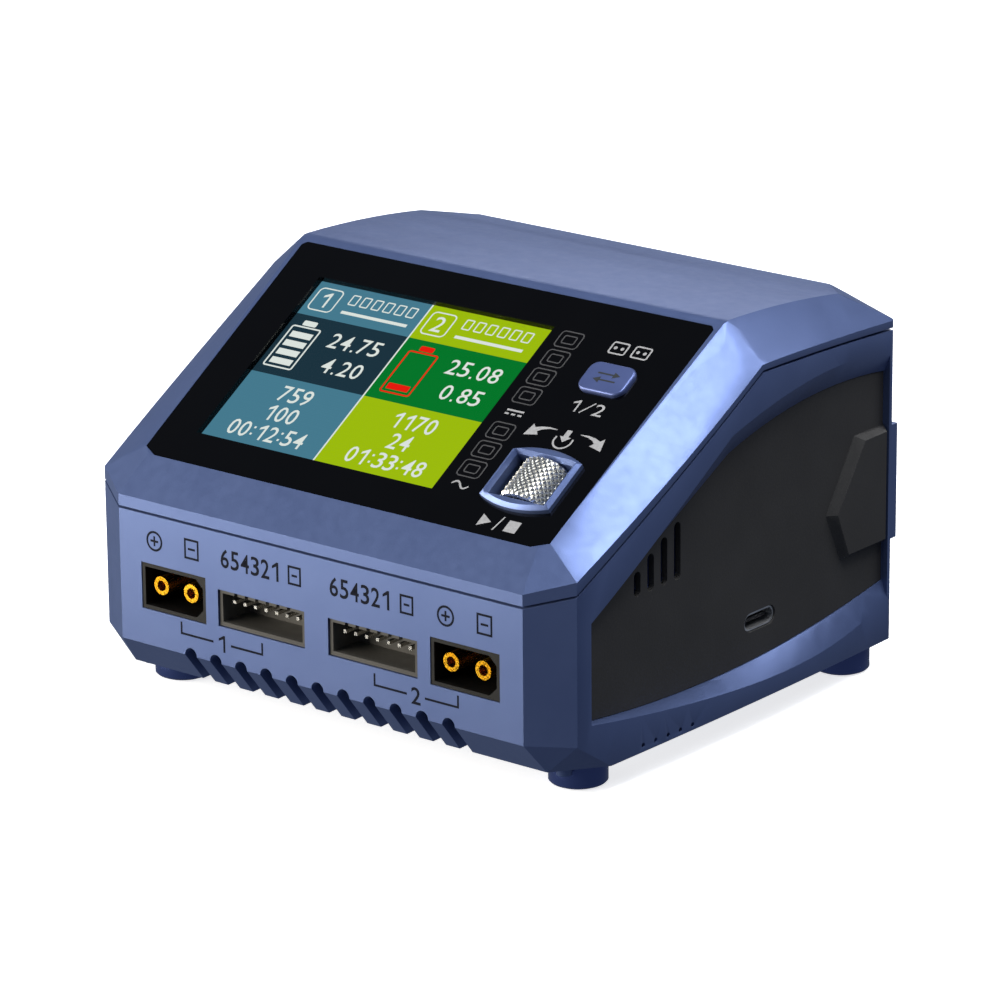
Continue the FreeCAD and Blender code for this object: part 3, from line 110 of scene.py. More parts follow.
class Shader:
    """One node material built around a Principled shader."""

    def __init__(self, name):
        self.material = bpy.data.materials.new(name)
        self.material.use_nodes = True
        self.tree = self.material.node_tree
        self.principled = self.tree.nodes["Principled BSDF"]
        self.place = self.add("ShaderNodeTexCoord").outputs["Object"]

    def add(self, kind, **settings):
        node = self.tree.nodes.new(kind)
        for key, value in settings.items():
            setattr(node, key, value)
        return node

    def join(self, source, target):
        self.tree.links.new(source, target)

    def set(self, **values):
        """Sets sockets of the Principled shader that are the same all over."""
        for key, value in values.items():
            self.principled.inputs[key.replace("_", " ")].default_value = value

    def noise(self, per_mm, detail=3.0, rough=0.55, stretch=None):
        """Noise with about per_mm features in a millimetre, as a 0 to 1 factor."""
        node = self.add("ShaderNodeTexNoise")
        node.inputs["Scale"].default_value = per_mm / MM
        node.inputs["Detail"].default_value = detail
        node.inputs["Roughness"].default_value = rough
        source = self.place
        if stretch:
            mapping = self.add("ShaderNodeMapping")
            mapping.inputs["Scale"].default_value = stretch
            self.join(source, mapping.inputs["Vector"])
            source = mapping.outputs["Vector"]
        self.join(source, node.inputs["Vector"])
        return node.outputs["Fac"]

    def cells(self, per_mm):
        """Voronoi distance with about per_mm cells in a millimetre."""
        node = self.add("ShaderNodeTexVoronoi")
        node.inputs["Scale"].default_value = per_mm / MM
        self.join(self.place, node.inputs["Vector"])
        return node.outputs["Distance"]

    def span(self, factor, low, high, start=0.3, end=0.7):
        """Maps a factor between start and end onto low to high."""
        node = self.add("ShaderNodeMapRange")
        node.inputs["From Min"].default_value = start
        node.inputs["From Max"].default_value = end
        node.inputs["To Min"].default_value = low
        node.inputs["To Max"].default_value = high
        self.join(factor, node.inputs["Value"])
        return node.outputs["Result"]

    def blend_colour(self, factor, first, second, start=0.3, end=0.7):
        """A colour ramp between two colours, driven by a factor."""
        node = self.add("ShaderNodeValToRGB")
        node.color_ramp.elements[0].position = start
        node.color_ramp.elements[0].color = first
        node.color_ramp.elements[1].position = end
        node.color_ramp.elements[1].color = second
        self.join(factor, node.inputs["Fac"])
        return node.outputs["Color"]

    def bump(self, height, strength, depth_mm, before=None):
        """A bump of that depth; before is a normal to start from."""
        node = self.add("ShaderNodeBump")
        node.inputs["Strength"].default_value = strength
        node.inputs["Distance"].default_value = depth_mm * MM
        self.join(height, node.inputs["Height"])
        if before:
            self.join(before, node.inputs["Normal"])
        return node.outputs["Normal"]

    def colour(self, output):
        self.join(output, self.principled.inputs["Base Color"])

    def roughness(self, output):
        self.join(output, self.principled.inputs["Roughness"])

    def normal(self, output):
        self.join(output, self.principled.inputs["Normal"])


def moulded(name, colour, darker, rough=(0.36, 0.46), grain=4.0, depth=0.012, metallic=0.0, specular=0.5):
    """Moulded plastic: slight colour drift, uneven gloss and a fine spark-eroded grain."""
    shader = Shader(name)
    shader.colour(shader.blend_colour(shader.noise(0.06, 2.0), darker, colour))
    shader.roughness(shader.span(shader.noise(0.5, 4.0), *rough))
    fine = shader.bump(shader.noise(grain, 2.0), 0.6, depth)
    shader.normal(shader.bump(shader.cells(grain * 0.8), 0.35, depth, fine))
    shader.set(Metallic=metallic, Specular_IOR_Level=specular)
    return shader.material


def metal(name, colour, darker, rough=(0.18, 0.32), stretch=(1, 1, 1), depth=0.004):
    """Machined or plated metal with fine drawn lines."""
    shader = Shader(name)
    shader.colour(shader.blend_colour(shader.noise(0.4, 3.0), darker, colour))
    lines = shader.noise(3.0, 3.0, stretch=stretch)
    shader.roughness(shader.span(lines, *rough))
    shader.normal(shader.bump(lines, 0.5, depth))
    shader.set(Metallic=1.0)
    return shader.material


def glowing(name, colour, strength=1.0):
    """A lit area of the display, with its fine grid of dots."""
    shader = Shader(name)
    shader.set(Base_Color=(0.0, 0.0, 0.0, 1.0), Specular_IOR_Level=0.0)
    grid = shader.add("ShaderNodeTexVoronoi", feature="DISTANCE_TO_EDGE")
    grid.inputs["Scale"].default_value = 5.0 / MM
    grid.inputs["Randomness"].default_value = 0.0
    shader.join(shader.place, grid.inputs["Vector"])
    dimmer = tuple(c * 0.9 for c in colour[:3]) + (1.0,)
    shade = shader.blend_colour(grid.outputs["Distance"], dimmer, colour, 0.0, 0.2)
    shader.join(shade, shader.principled.inputs["Emission Color"])
    shader.principled.inputs["Emission Strength"].default_value = strength
    shader.roughness(shader.span(shader.noise(0.8), 0.4, 0.5))
    return shader.material


def printed(name, colour, darker, specular=0.4):
    """Screen-printed ink with an uneven edge to its gloss."""
    shader = Shader(name)
    shader.colour(shader.blend_colour(shader.noise(2.0, 3.0), darker, colour))
    shader.roughness(shader.span(shader.noise(3.0), 0.45, 0.6))
    shader.normal(shader.bump(shader.noise(8.0), 0.3, 0.003))
    shader.set(Specular_IOR_Level=specular)
    return shader.material


def circuit_board(name):
    """Green solder mask over copper runs that show faintly through it."""
    shader = Shader(name)
    brick = shader.add("ShaderNodeTexBrick")
    brick.inputs["Scale"].default_value = 0.35 / MM
    brick.inputs["Mortar Size"].default_value = 0.06
    brick.inputs["Color1"].default_value = srgb(12, 62, 34)
    brick.inputs["Color2"].default_value = srgb(14, 70, 40)
    brick.inputs["Mortar"].default_value = srgb(30, 100, 58)
    shader.join(shader.place, brick.inputs["Vector"])
    shader.colour(brick.outputs["Color"])
    shader.roughness(shader.span(shader.noise(1.0), 0.25, 0.4))
    shader.normal(shader.bump(brick.outputs["Fac"], 0.4, 0.03))
    return shader.material


def wound_wire(name, colour, darker, per_mm, axis):
    """Turns of enamelled wire laid side by side along an axis, with painted shade between the turns."""
    shader = Shader(name)
    wave = shader.add("ShaderNodeTexWave", bands_direction=axis)
    wave.inputs["Scale"].default_value = per_mm / MM / 2
    wave.inputs["Distortion"].default_value = 0.4
    shader.join(shader.place, wave.inputs["Vector"])
    # Painted shade: the colour darkens towards the valleys between turns, where the bump is lowest.
    shader.colour(shader.blend_colour(wave.outputs["Fac"], darker, colour, 0.0, 1.0))
    shader.roughness(shader.span(shader.noise(1.0), 0.25, 0.4))
    shader.normal(shader.bump(wave.outputs["Fac"], 0.8, 0.1))
    shader.set(Metallic=0.7)
    return shader.material


def clear_pane(name, alpha):
    """A clear, glossy window that hardly tints what is under it."""
    shader = Shader(name)
    shader.set(Base_Color=(0.0, 0.0, 0.0, 1.0), Alpha=alpha)
    shader.roughness(shader.span(shader.noise(0.3), 0.04, 0.09))
    return shader.material


def knurled(name):
    """Bright cut aluminium, with painted shade darkening its grooves."""
    shader = Shader(name)
    geometry = shader.add("ShaderNodeNewGeometry")
    # Painted shade: the colour goes dark where the surface is hollow (the grooves) and stays bright on the ridges.
    shader.colour(shader.blend_colour(
        geometry.outputs["Pointiness"], srgb(150, 150, 148), srgb(232, 232, 228), 0.46, 0.54))
    shader.roughness(shader.span(shader.noise(3.0), 0.2, 0.34))
    shader.normal(shader.bump(shader.noise(14.0), 0.3, 0.004))
    shader.set(Metallic=1.0)
    return shader.material


BLUE = moulded("case_blue", srgb(94, 111, 157), srgb(89, 106, 152), rough=(0.36, 0.42), metallic=0.65)
KEY_BLUE = moulded("key_blue", srgb(84, 98, 148), srgb(78, 92, 142), rough=(0.34, 0.42), metallic=0.5)
FOOT_BLUE = moulded("foot_blue", srgb(84, 100, 158), srgb(76, 92, 150), rough=(0.2, 0.28), metallic=0.8)
PANEL = moulded("panel_dark", srgb(57, 56, 56), srgb(51, 50, 50), rough=(0.5, 0.62), grain=2.5, depth=0.02,
                specular=0.3)
LENS_BLACK = moulded("lens_black", srgb(3, 3, 4), srgb(2, 2, 3), rough=(0.07, 0.12),
                     grain=0.4, depth=0.0005, specular=0.2)
SOCKET_BLACK = moulded("socket_black", srgb(13, 12, 12), srgb(8, 8, 8), rough=(0.4, 0.55), specular=0.3)
HEADER_GREY = moulded("header_grey", srgb(84, 82, 78), srgb(72, 70, 67), rough=(0.4, 0.5), specular=0.4)
PART_BLACK = moulded("part_black", srgb(24, 24, 25), srgb(17, 17, 18), rough=(0.45, 0.6))
RUBBER = moulded("rubber", srgb(30, 30, 31), srgb(22, 22, 23), rough=(0.7, 0.85), grain=1.5, depth=0.03)
FERRITE = moulded("ferrite", srgb(58, 57, 58), srgb(46, 46, 47), rough=(0.6, 0.75), grain=5.0, depth=0.02)
FILM = moulded("film", srgb(198, 160, 64), srgb(182, 142, 50), rough=(0.2, 0.3), grain=0.5, depth=0.02)
CAN = moulded("can_sleeve", srgb(38, 48, 84), srgb(30, 40, 74), rough=(0.25, 0.35))
RIBBON = moulded("ribbon_white", srgb(214, 212, 204), srgb(196, 194, 186), rough=(0.3, 0.4))
STEEL = metal("steel", srgb(188, 190, 194), srgb(160, 162, 168), stretch=(1, 6, 1))
GOLD = metal("gold", srgb(255, 196, 52), srgb(240, 164, 24), rough=(0.2, 0.34), stretch=(1, 0.2, 1))
TIN = metal("tin", srgb(226, 224, 218), srgb(196, 194, 188), rough=(0.2, 0.3))
SINK = metal("sink_metal", srgb(176, 178, 182), srgb(150, 152, 158), rough=(0.3, 0.45), stretch=(6, 0.3, 6))
SHELL_STEEL = metal("shell_steel", srgb(226, 227, 228), srgb(204, 205, 208), rough=(0.4, 0.52))
KNURL = knurled("knurl")
BOARD = circuit_board("board_green")
COPPER = wound_wire("copper", srgb(196, 104, 52), srgb(120, 56, 26), 2.0, "Z")
FRONT_INK = printed("front_ink", srgb(14, 17, 30), srgb(10, 13, 26), specular=0.1)
WHITE_INK = printed("white_ink", srgb(158, 158, 160), srgb(140, 140, 143))
GREY_INK = printed("grey_ink", srgb(66, 66, 68), srgb(54, 54, 56))
KEY_INK = printed("key_ink", srgb(44, 48, 52), srgb(36, 40, 44))
PANE = clear_pane("clear_pane", 0.06)
GLASS_TUBE = clear_pane("fuse_glass", 0.3)
TEAL = glowing("screen_teal", srgb(75, 131, 153))
DARK_TEAL = glowing("screen_dark_teal", srgb(30, 55, 68))
LIME = glowing("screen_lime", srgb(167, 201, 14))
GREEN = glowing("screen_green", srgb(5, 126, 45))
SCREEN_WHITE = glowing("screen_white", srgb(236, 244, 238))
SCREEN_RED = glowing("screen_red", srgb(246, 30, 16))
SCREEN_OFF = glowing("screen_off", srgb(6, 8, 10))

NODE_LOOKS = {
    "case_blue": BLUE, "panel_dark": PANEL, "lens_black": LENS_BLACK, "screen": SCREEN_OFF,
    "button_blue": KEY_BLUE, "roller_metal": KNURL, "steel": STEEL, "gold": GOLD, "tin": TIN,
    "socket_black": SOCKET_BLACK, "header_grey": HEADER_GREY, "foot_black": FOOT_BLUE,
    "rubber": RUBBER, "board_green": BOARD, "part_black": PART_BLACK, "screw_black": STEEL,
    "copper": COPPER, "ferrite": FERRITE, "can_black": CAN, "fuse_glass": GLASS_TUBE,
    "sink_metal": SINK, "film": FILM, "ribbon_white": RIBBON,
}


def dress_cad_nodes():
    """Gives each CAD node the material of its slot in the record."""
    for part in frame["record"]["subparts"]:
        mesh = nodes[part["node"]].data
        mesh.materials.clear()
        mesh.materials.append(NODE_LOOKS[part["material_slot"]])
    nodes["usb_port"].data.materials[0] = SHELL_STEEL


# Radii of rounded edges, in millimetres.
ROUNDED = {
    "upper_cover": 0.3, "lower_case": 0.2, "roller_bezel": 0.25,
    "side_panel_right": 0.15, "side_panel_left": 0.15,
    "foot_front_right": 0.3, "foot_front_left": 0.3, "foot_rear_right": 0.3, "foot_rear_left": 0.3,
}
WELD_MM = 0.0005


def soften(piece, radius_mm, segments, sharp_degrees):
    """Rounds a piece's sharp edges with a modifier."""
    bevel = piece.modifiers.new("round", "BEVEL")
    bevel.width = radius_mm * MM
    bevel.segments = segments
    bevel.limit_method = "ANGLE"
    bevel.angle_limit = math.radians(sharp_degrees)
    bevel.harden_normals = True


def round_edges(node, radius_mm):
    """Rounds a CAD node's sharp edges with modifiers, which leave its mesh as it is."""
    weld = nodes[node].modifiers.new("weld", "WELD")
    weld.merge_threshold = WELD_MM * MM
    soften(nodes[node], radius_mm, segments=3, sharp_degrees=28)


# ---- Flat shapes: prints, screen fields and plates ----------------------------------------------

class Drawing:
    """Closed outlines in a plane, in millimetres, that become one thin solid piece."""

    def __init__(self):
        self.curve = bpy.data.curves.new("drawing", "CURVE")
        self.curve.dimensions = "2D"
        self.curve.fill_mode = "BOTH"
        self.glyphs = []

    def outline(self, points):
        """Adds a closed polygon. One drawn inside another is a hole in it."""
        spline = self.curve.splines.new("POLY")
        spline.points.add(len(points) - 1)
        for point, (x, y) in zip(spline.points, points):
            point.co = (x, y, 0, 1)
        spline.use_cyclic_u = True

    def rectangle(self, x0, y0, x1, y1, corner=0.0):
        self.outline(rounded_rectangle(x0, y0, x1, y1, corner))

    def frame(self, x0, y0, x1, y1, width, corner=0.0):
        """A rectangle's outline with a line of that width inside it."""
        self.rectangle(x0, y0, x1, y1, corner)
        self.rectangle(x0 + width, y0 + width, x1 - width, y1 - width, max(0.0, corner - width))

    def stroke(self, points, width):
        """A line of that width along open points, with mitred corners."""
        left, right = [], []
        for i, point in enumerate(points):
            here = Vector(point)
            ahead = (Vector(points[i + 1]) - here).normalized() if i < len(points) - 1 else None
            behind = (here - Vector(points[i - 1])).normalized() if i else None
            along = ((ahead or behind) + (behind or ahead)).normalized()
            side = Vector((-along.y, along.x))
            reach = width / 2 / max(0.3, abs(along.dot(ahead or behind)))
            left.append(tuple(here + side * reach))
            right.append(tuple(here - side * reach))
        self.outline(left + right[::-1])

    def figures(self, words, height, centre, pitch, weight=0.004):
        """Figures in equal cells, centred on a point. Points and colons take half a cell.

        weight is how far their outlines grow, as a share of the height."""
        cells = [0.5 if c in ".:" else 1.0 for c in words]
        x = centre[0] - pitch * sum(cells) / 2
        for character, cell in zip(words, cells):
            self.figure(character, height, (x + pitch * cell / 2, centre[1]), pitch * 0.82, weight)
            x += pitch * cell

    def figure(self, character, height, centre, width, weight):
        """One figure of that height and width. The plainest are drawn, and the others are type."""
        x, y = centre
        low, high = y - height / 2, y + height / 2
        line = height * (0.11 + 3 * weight)
        flag = height * 0.22
        if character == ".":
            self.rectangle(x - line / 2, low, x + line / 2, low + line)
        elif character == ":":
            for dot in (y - flag, y + flag):
                self.rectangle(x - line / 2, dot - line / 2, x + line / 2, dot + line / 2)
        elif character == "/":
            self.stroke([(x - width / 2, low), (x + width / 2, high)], line * 0.8)
        elif character == "1":
            stem = x + width * 0.12
            self.outline([(stem, low), (stem + line, low), (stem + line, high), (stem + line * 0.2, high),
                          (x - width * 0.38, high - flag), (x - width * 0.38, high - height * 0.36),
                          (stem, high - flag)])
        else:
            curve = bpy.data.curves.new("figure", "FONT")
            curve.body = character
            curve.resolution_u = 3
            curve.offset = weight
            self.glyphs.append((curve, height, centre, width))

    def solid(self, name, plane, low, high, material, body="root"):
        """Makes the piece, between two heights over the plane, and puts it on its body."""
        joined = bmesh.new()
        if self.curve.splines:
            add_curve(joined, self.curve, low, high)
        for curve, height, centre, width in self.glyphs:
            add_glyph(joined, curve, low, high, height, centre, width)
        joined.transform(plane)
        bmesh.ops.recalc_face_normals(joined, faces=joined.faces)
        mesh = bpy.data.meshes.new(name)
        joined.to_mesh(mesh)
        joined.free()
        return place(name, mesh, material, body)


def as_mesh(curve):
    """A curve's filled and extruded form, as a new mesh."""
    holder = bpy.data.objects.new("holder", curve)
    scene.collection.objects.link(holder)
    graph = bpy.context.evaluated_depsgraph_get()
    mesh = bpy.data.meshes.new_from_object(holder.evaluated_get(graph))
    bpy.data.objects.remove(holder)
    return mesh


def add_curve(joined, curve, low, high):
    """Adds a filled curve between two heights to a bmesh."""
    curve.extrude = (high - low) / 2
    mesh = as_mesh(curve)
    mesh.transform(Matrix.Translation((0, 0, (low + high) / 2)))
    joined.from_mesh(mesh)
    bpy.data.meshes.remove(mesh)


def add_glyph(joined, curve, low, high, height, centre, width):
    """Adds a figure to a bmesh, scaled to a height and a width."""
    curve.extrude = 0.01
    mesh = as_mesh(curve)
    xs = [v.co.x for v in mesh.vertices]
    ys = [v.co.y for v in mesh.vertices]
    middle = Vector(((min(xs) + max(xs)) / 2, (min(ys) + max(ys)) / 2, 0))
    scale_y = height / (max(ys) - min(ys))
    scale_x = width / (max(xs) - min(xs))
    scale_z = (high - low) / 2 / curve.extrude
    move = Matrix.Translation((centre[0], centre[1], (low + high) / 2))
    mesh.transform(move @ Matrix.Diagonal((scale_x, scale_y, scale_z, 1)) @ Matrix.Translation(-middle))
    joined.from_mesh(mesh)
    bpy.data.meshes.remove(mesh)


def place(name, mesh, material, body="root", smooth=False):
    """Makes a piece of a mesh in the row frame that rides on a body."""
    piece = bpy.data.objects.new(name, mesh)
    scene.collection.objects.link(piece)
    mesh.materials.clear()
    mesh.materials.append(material)
    for face in mesh.polygons:
        face.use_smooth = smooth
    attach(piece, body)
    return piece


def rounded_rectangle(x0, y0, x1, y1, corner=0.0, steps=5):
    """Points round a rectangle with rounded corners."""
    if corner <= 0:
        return [(x0, y0), (x1, y0), (x1, y1), (x0, y1)]
    points = []
    centres = [(x1 - corner, y1 - corner, 0), (x0 + corner, y1 - corner, 90),
               (x0 + corner, y0 + corner, 180), (x1 - corner, y0 + corner, 270)]
    for cx, cy, start in centres:
        for i in range(steps + 1):
            angle = math.radians(start + 90 * i / steps)
            points.append((cx + corner * math.cos(angle), cy + corner * math.sin(angle)))
    return points


def arc_points(cx, cy, radius, start, end, steps=12):
    """Points along an arc, from one angle to another in degrees."""
    points = []
    for i in range(steps + 1):
        angle = math.radians(start + (end - start) * i / steps)
        points.append((cx + radius * math.cos(angle), cy + radius * math.sin(angle)))
    return points


# ---- Lens, in two pieces: the black border and the clear window ----------------------------------

def front_loops(node):
    """The closed outlines of a CAD node's front, as (u, v) points, longest first."""
    mesh = nodes[node].data
    level = slope_span(node)[1].z - 0.01
    key = lambda p: (round(p.x, 3), round(p.y, 3))
    edges = {}
    for face in mesh.polygons:
        corners = [TO_SLOPE @ mesh.vertices[i].co for i in face.vertices]
        if min(c.z for c in corners) < level:
            continue
        for a, b in zip(corners, corners[1:] + corners[:1]):
            edges[(key(a), key(b))] = True
    follow = {a: b for a, b in edges if (b, a) not in edges}
    loops = []
    while follow:
        first, here = follow.popitem()
        loop = [first]
        while here != first:
            loop.append(here)
            here = follow.pop(here)
        loops.append(loop)
    return sorted(loops, key=lambda loop: -max(p[0] for p in loop) + min(p[0] for p in loop))


def make_lens():
    """The printed black border and the clear window in it, over the display."""
    low, high = slope_span("display_lens")
    screen_low, screen_high = slope_span("lcd_panel")
    overlap = 0.3
    window = (screen_low.x + overlap, screen_low.y + overlap,
              screen_high.x - overlap, screen_high.y - overlap)
    border = Drawing()
    for loop in front_loops("display_lens"):
        border.outline(loop)
    border.rectangle(*window)
    piece = border.solid("lens_border", SLOPE, low.z, high.z, LENS_BLACK)
    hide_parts("display_lens")
    soften(piece, 0.12, segments=2, sharp_degrees=40)
    gap = 0.01
    pane = Drawing()
    pane.rectangle(window[0] + gap, window[1] + gap, window[2] - gap, window[3] - gap)
    pane.solid("lens_window", SLOPE, low.z, high.z, PANE)


# ---- What the display shows ----------------------------------------------------------------------

# Where the coloured fields meet, in the slope's frame.
DIVIDER = -12.0
ROW_TOP = 39.8
ROW_MIDDLE = 24.6
BATTERY_V = 26.4
LAYER_GAP = 0.012
LAYER_THICK = 0.02


def make_screen():
    """Coloured fields, figures and symbols, lying on the display under the lens."""
    low, high = slope_span("lcd_panel")
    left, right, bottom, top = low.x, high.x, low.y, high.y
    base = high.z + LAYER_GAP

    def field(name, material, *areas):
        drawing = Drawing()
        for area in areas:
            drawing.rectangle(*area)
        drawing.solid(name, SLOPE, base, base + LAYER_THICK, material)

    field("screen_field_teal", TEAL, (left, ROW_TOP, DIVIDER, top), (left, bottom, DIVIDER, ROW_MIDDLE))
    field("screen_field_dark", DARK_TEAL, (left, ROW_MIDDLE, DIVIDER, ROW_TOP))
    field("screen_field_lime", LIME, (DIVIDER, ROW_TOP, right, top), (DIVIDER, bottom, right, ROW_MIDDLE))
    field("screen_field_green", GREEN, (DIVIDER, ROW_MIDDLE, right, ROW_TOP))
    over = base + LAYER_THICK + LAYER_GAP
    marks = Drawing()
    marks.rectangle(DIVIDER - 0.16, bottom, DIVIDER + 0.16, top)
    column_marks(marks, left, DIVIDER, "1", ("24.75", "4.20"), ("759", "100", "00:12:54"))
    column_marks(marks, DIVIDER, right, "2", ("25.08", "0.85"), ("1170", "24", "01:33:48"))
    battery(marks, left + 1.3, BATTERY_V, 4)
    marks.solid("screen_figures", SLOPE, over, over + LAYER_THICK, SCREEN_WHITE)
    red = Drawing()
    battery(red, DIVIDER + 2.2, BATTERY_V, 1)
    red.solid("screen_low_battery", SLOPE, over, over + LAYER_THICK, SCREEN_RED)


def column_marks(marks, left, right, number, readings, totals):
    """One channel's column: its number in a badge, its cells, two readings and three totals."""
    badge = 5.8
    x0, y0 = left + 1.2, 41.2
    marks.frame(x0, y0, x0 + badge, y0 + badge, 0.28, 1.1)
    marks.figures(number, 3.7, (x0 + badge / 2, y0 + badge / 2), 2.9)
    cells, cell, pitch = 6, 1.9, 2.75
    bar = x0 + badge + 2.2
    for i in range(cells):
        x = bar + i * pitch
        marks.frame(x, 44.1, x + cell, 46.7, 0.26, 0.3)
    marks.rectangle(bar, 41.8, bar + (cells - 1) * pitch + cell, 42.5)
    middle = (left + right) / 2
    marks.figures(readings[0], 3.6, (middle + 4.0, 35.3), 2.75)
    marks.figures(readings[1], 3.6, (middle + 5.0, 29.4), 2.75)
    for words, v in zip(totals, (21.0, 16.2, 11.3)):
        marks.figures(words, 3.7, (middle, v), 2.6)


def battery(drawing, x, y, bars):
    """A battery outline with a cap and some charge bars."""
    width, height, line = 7.0, 10.6, 0.34
    drawing.frame(x, y, x + width, y + height, line, 0.6)
    drawing.rectangle(x + 1.9, y + height + 0.25, x + width - 1.9, y + height + 1.5, 0.3)
    for i in range(bars):
        low = y + 0.95 + i * 2.25
        drawing.rectangle(x + 1.0, low, x + width - 1.0, low + 1.45)


# ---- Symbols printed on the lens -----------------------------------------------------------------

INK_LOW, INK_HIGH = 0.002, 0.012


def make_lens_symbols():
    """Turn, press, start and stop symbols by the roller, and 1/2 by the port button."""
    marks = Drawing()
    bezel_low, bezel_high = slope_span("roller_bezel")
    middle = (bezel_low.x + bezel_high.x) / 2
    top = bezel_high.y + 3.6
    turn_arrow(marks, middle - 2.6, top + 1.0, -1)
    turn_arrow(marks, middle + 2.6, top + 1.0, 1)
    marks.outline([(middle - 0.55, top + 2.0), (middle + 0.55, top + 2.0), (middle + 0.55, top + 0.4),
                   (middle + 1.25, top + 0.4), (middle, top - 0.9), (middle - 1.25, top + 0.4),
                   (middle - 0.55, top + 0.4)])
    marks.stroke(arc_points(middle, top - 0.5, 1.9, 160, 380, 16), 0.36)
    low = bezel_low.y - 4.6
    marks.outline([(middle - 4.6, low), (middle - 4.6, low + 2.8), (middle - 2.1, low + 1.4)])
    marks.stroke([(middle - 0.9, low - 0.2), (middle - 0.1, low + 3.1)], 0.3)
    marks.rectangle(middle + 1.3, low + 0.1, middle + 3.9, low + 2.7)
    key_low, key_high = slope_span("port_button")
    key = (key_low.x + key_high.x) / 2
    plug_symbol(marks, key, key_high.y + 1.4)
    marks.figures("1/2", 2.8, (key, key_low.y - 2.2), 2.6)
    marks.solid("lens_symbols", SLOPE, INK_LOW, INK_HIGH, WHITE_INK)


def turn_arrow(marks, x, y, side):
    """A curved arrow that swings out and down from the middle."""
    shape = [(0.0, 0.5), (1.7, 0.32), (3.0, -0.15), (3.75, -0.75), (3.15, -1.45), (6.0, -2.1), (5.3, 0.75),
             (4.6, 0.05), (3.4, 0.5), (1.8, 0.75), (0.0, 0.62)]
    marks.outline([(x + side * px, y + py) for px, py in shape])


def plug_symbol(marks, x, y):
    """Two sockets side by side, for the two ports."""
    for side in (-1, 1):
        centre = x + side * 2.5
        marks.frame(centre - 1.9, y, centre + 1.9, y + 3.0, 0.34, 0.6)
        for pin in (-0.75, 0.75):
            marks.outline(arc_points(centre + pin, y + 1.5, 0.38, 0, 330, 11))


def make_level_outlines():
    """Two outlined level scales beside the screen, with the direct and mains current signs."""
    marks = Drawing()
    left, right = 19.0, 24.2
    for start, count in ((29.6, 4), (11.2, 3)):
        for i in range(count):
            y = start + i * 4.75
            marks.frame(left, y, right, y + 4.1, 0.26, 0.9)
            marks.frame(left + 1.1, y + 1.0, right - 1.1, y + 3.1, 0.26, 0.5)
    marks.solid("level_scales", SLOPE, INK_LOW, INK_HIGH, GREY_INK)
    signs = Drawing()
    signs.rectangle(left + 0.7, 27.6, right - 0.7, 28.0)
    for i in range(3):
        x = left + 0.7 + i * 1.45
        signs.rectangle(x, 26.7, x + 0.9, 27.1)
    wave = [(left + 0.7 + 3.8 * i / 16, 9.3 + 0.7 * math.sin(2 * math.pi * i / 16)) for i in range(17)]
    signs.stroke(wave, 0.36)
    signs.solid("current_signs", SLOPE, INK_LOW, INK_HIGH, WHITE_INK)


def make_key():
    """The port key: a cap with full round corners and a rounded top edge, over its flange."""
    points = [TO_SLOPE @ v.co for v in nodes["port_button"].data.vertices]
    low, high = slope_span("port_button")
    cap = [p for p in points if p.z > 0]
    left, right = min(p.x for p in cap), max(p.x for p in cap)
    bottom, top = min(p.y for p in cap), max(p.y for p in cap)
    step = max(p.z for p in points if p.x > right + 0.1)
    corner, edge, turns = 2.0, 0.5, 4
    loops = [(low.x, low.y, high.x, high.y, corner, low.z), (low.x, low.y, high.x, high.y, corner, step),
             (left, bottom, right, top, corner, step)]
    for i in range(turns + 1):
        angle = math.radians(90 * i / turns)
        inset, rise = edge * (1 - math.cos(angle)), edge * math.sin(angle)
        loops.append((left + inset, bottom + inset, right - inset, top - inset, corner - inset,
                      high.z - edge + rise))
    shape = bmesh.new()
    rings = [[shape.verts.new((x, y, w)) for x, y in rounded_rectangle(*sides)] for *sides, w in loops]
    for lower, upper in zip(rings, rings[1:]):
        for i in range(len(lower)):
            j = (i + 1) % len(lower)
            shape.faces.new((lower[i], lower[j], upper[j], upper[i]))
    shape.faces.new(rings[0][::-1])
    shape.faces.new(rings[-1])
    bmesh.ops.recalc_face_normals(shape, faces=shape.faces)
    shape.transform(SLOPE)
    mesh = bpy.data.meshes.new("port_key")
    shape.to_mesh(mesh)
    shape.free()
    piece = place("port_key", mesh, KEY_BLUE, "port_button_body")
    smooth_by_angle(piece, 40)
    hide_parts("port_button")


def smooth_by_angle(piece, degrees):
    """Shades a made piece smooth except across its sharp edges."""
    piece.data.shade_smooth()
    piece.data.set_sharp_from_angle(angle=math.radians(degrees))


def make_key_symbol():
    """Two arrows that swap places, on the port button."""
    low, high = slope_span("port_button")
    x, y = (low.x + high.x) / 2, (low.y + high.y) / 2
    marks = Drawing()
    for side in (-1, 1):
        line = y + side * 0.75
        marks.outline([(x - side * 2.3, line - 0.18), (x - side * 2.3, line + 0.18),
                       (x + side * 1.1, line + 0.18), (x + side * 1.1, line + 0.75),
                       (x + side * 2.6, line), (x + side * 1.1, line - 0.75),
                       (x + side * 1.1, line - 0.18)])
    marks.solid("key_symbol", SLOPE, high.z + INK_LOW, high.z + INK_HIGH, KEY_INK,
                body="port_button_body")


# ---- Marks printed on the front ------------------------------------------------------------------

SIGN_LEVEL = 26.4
SIGN_LINE = 0.42


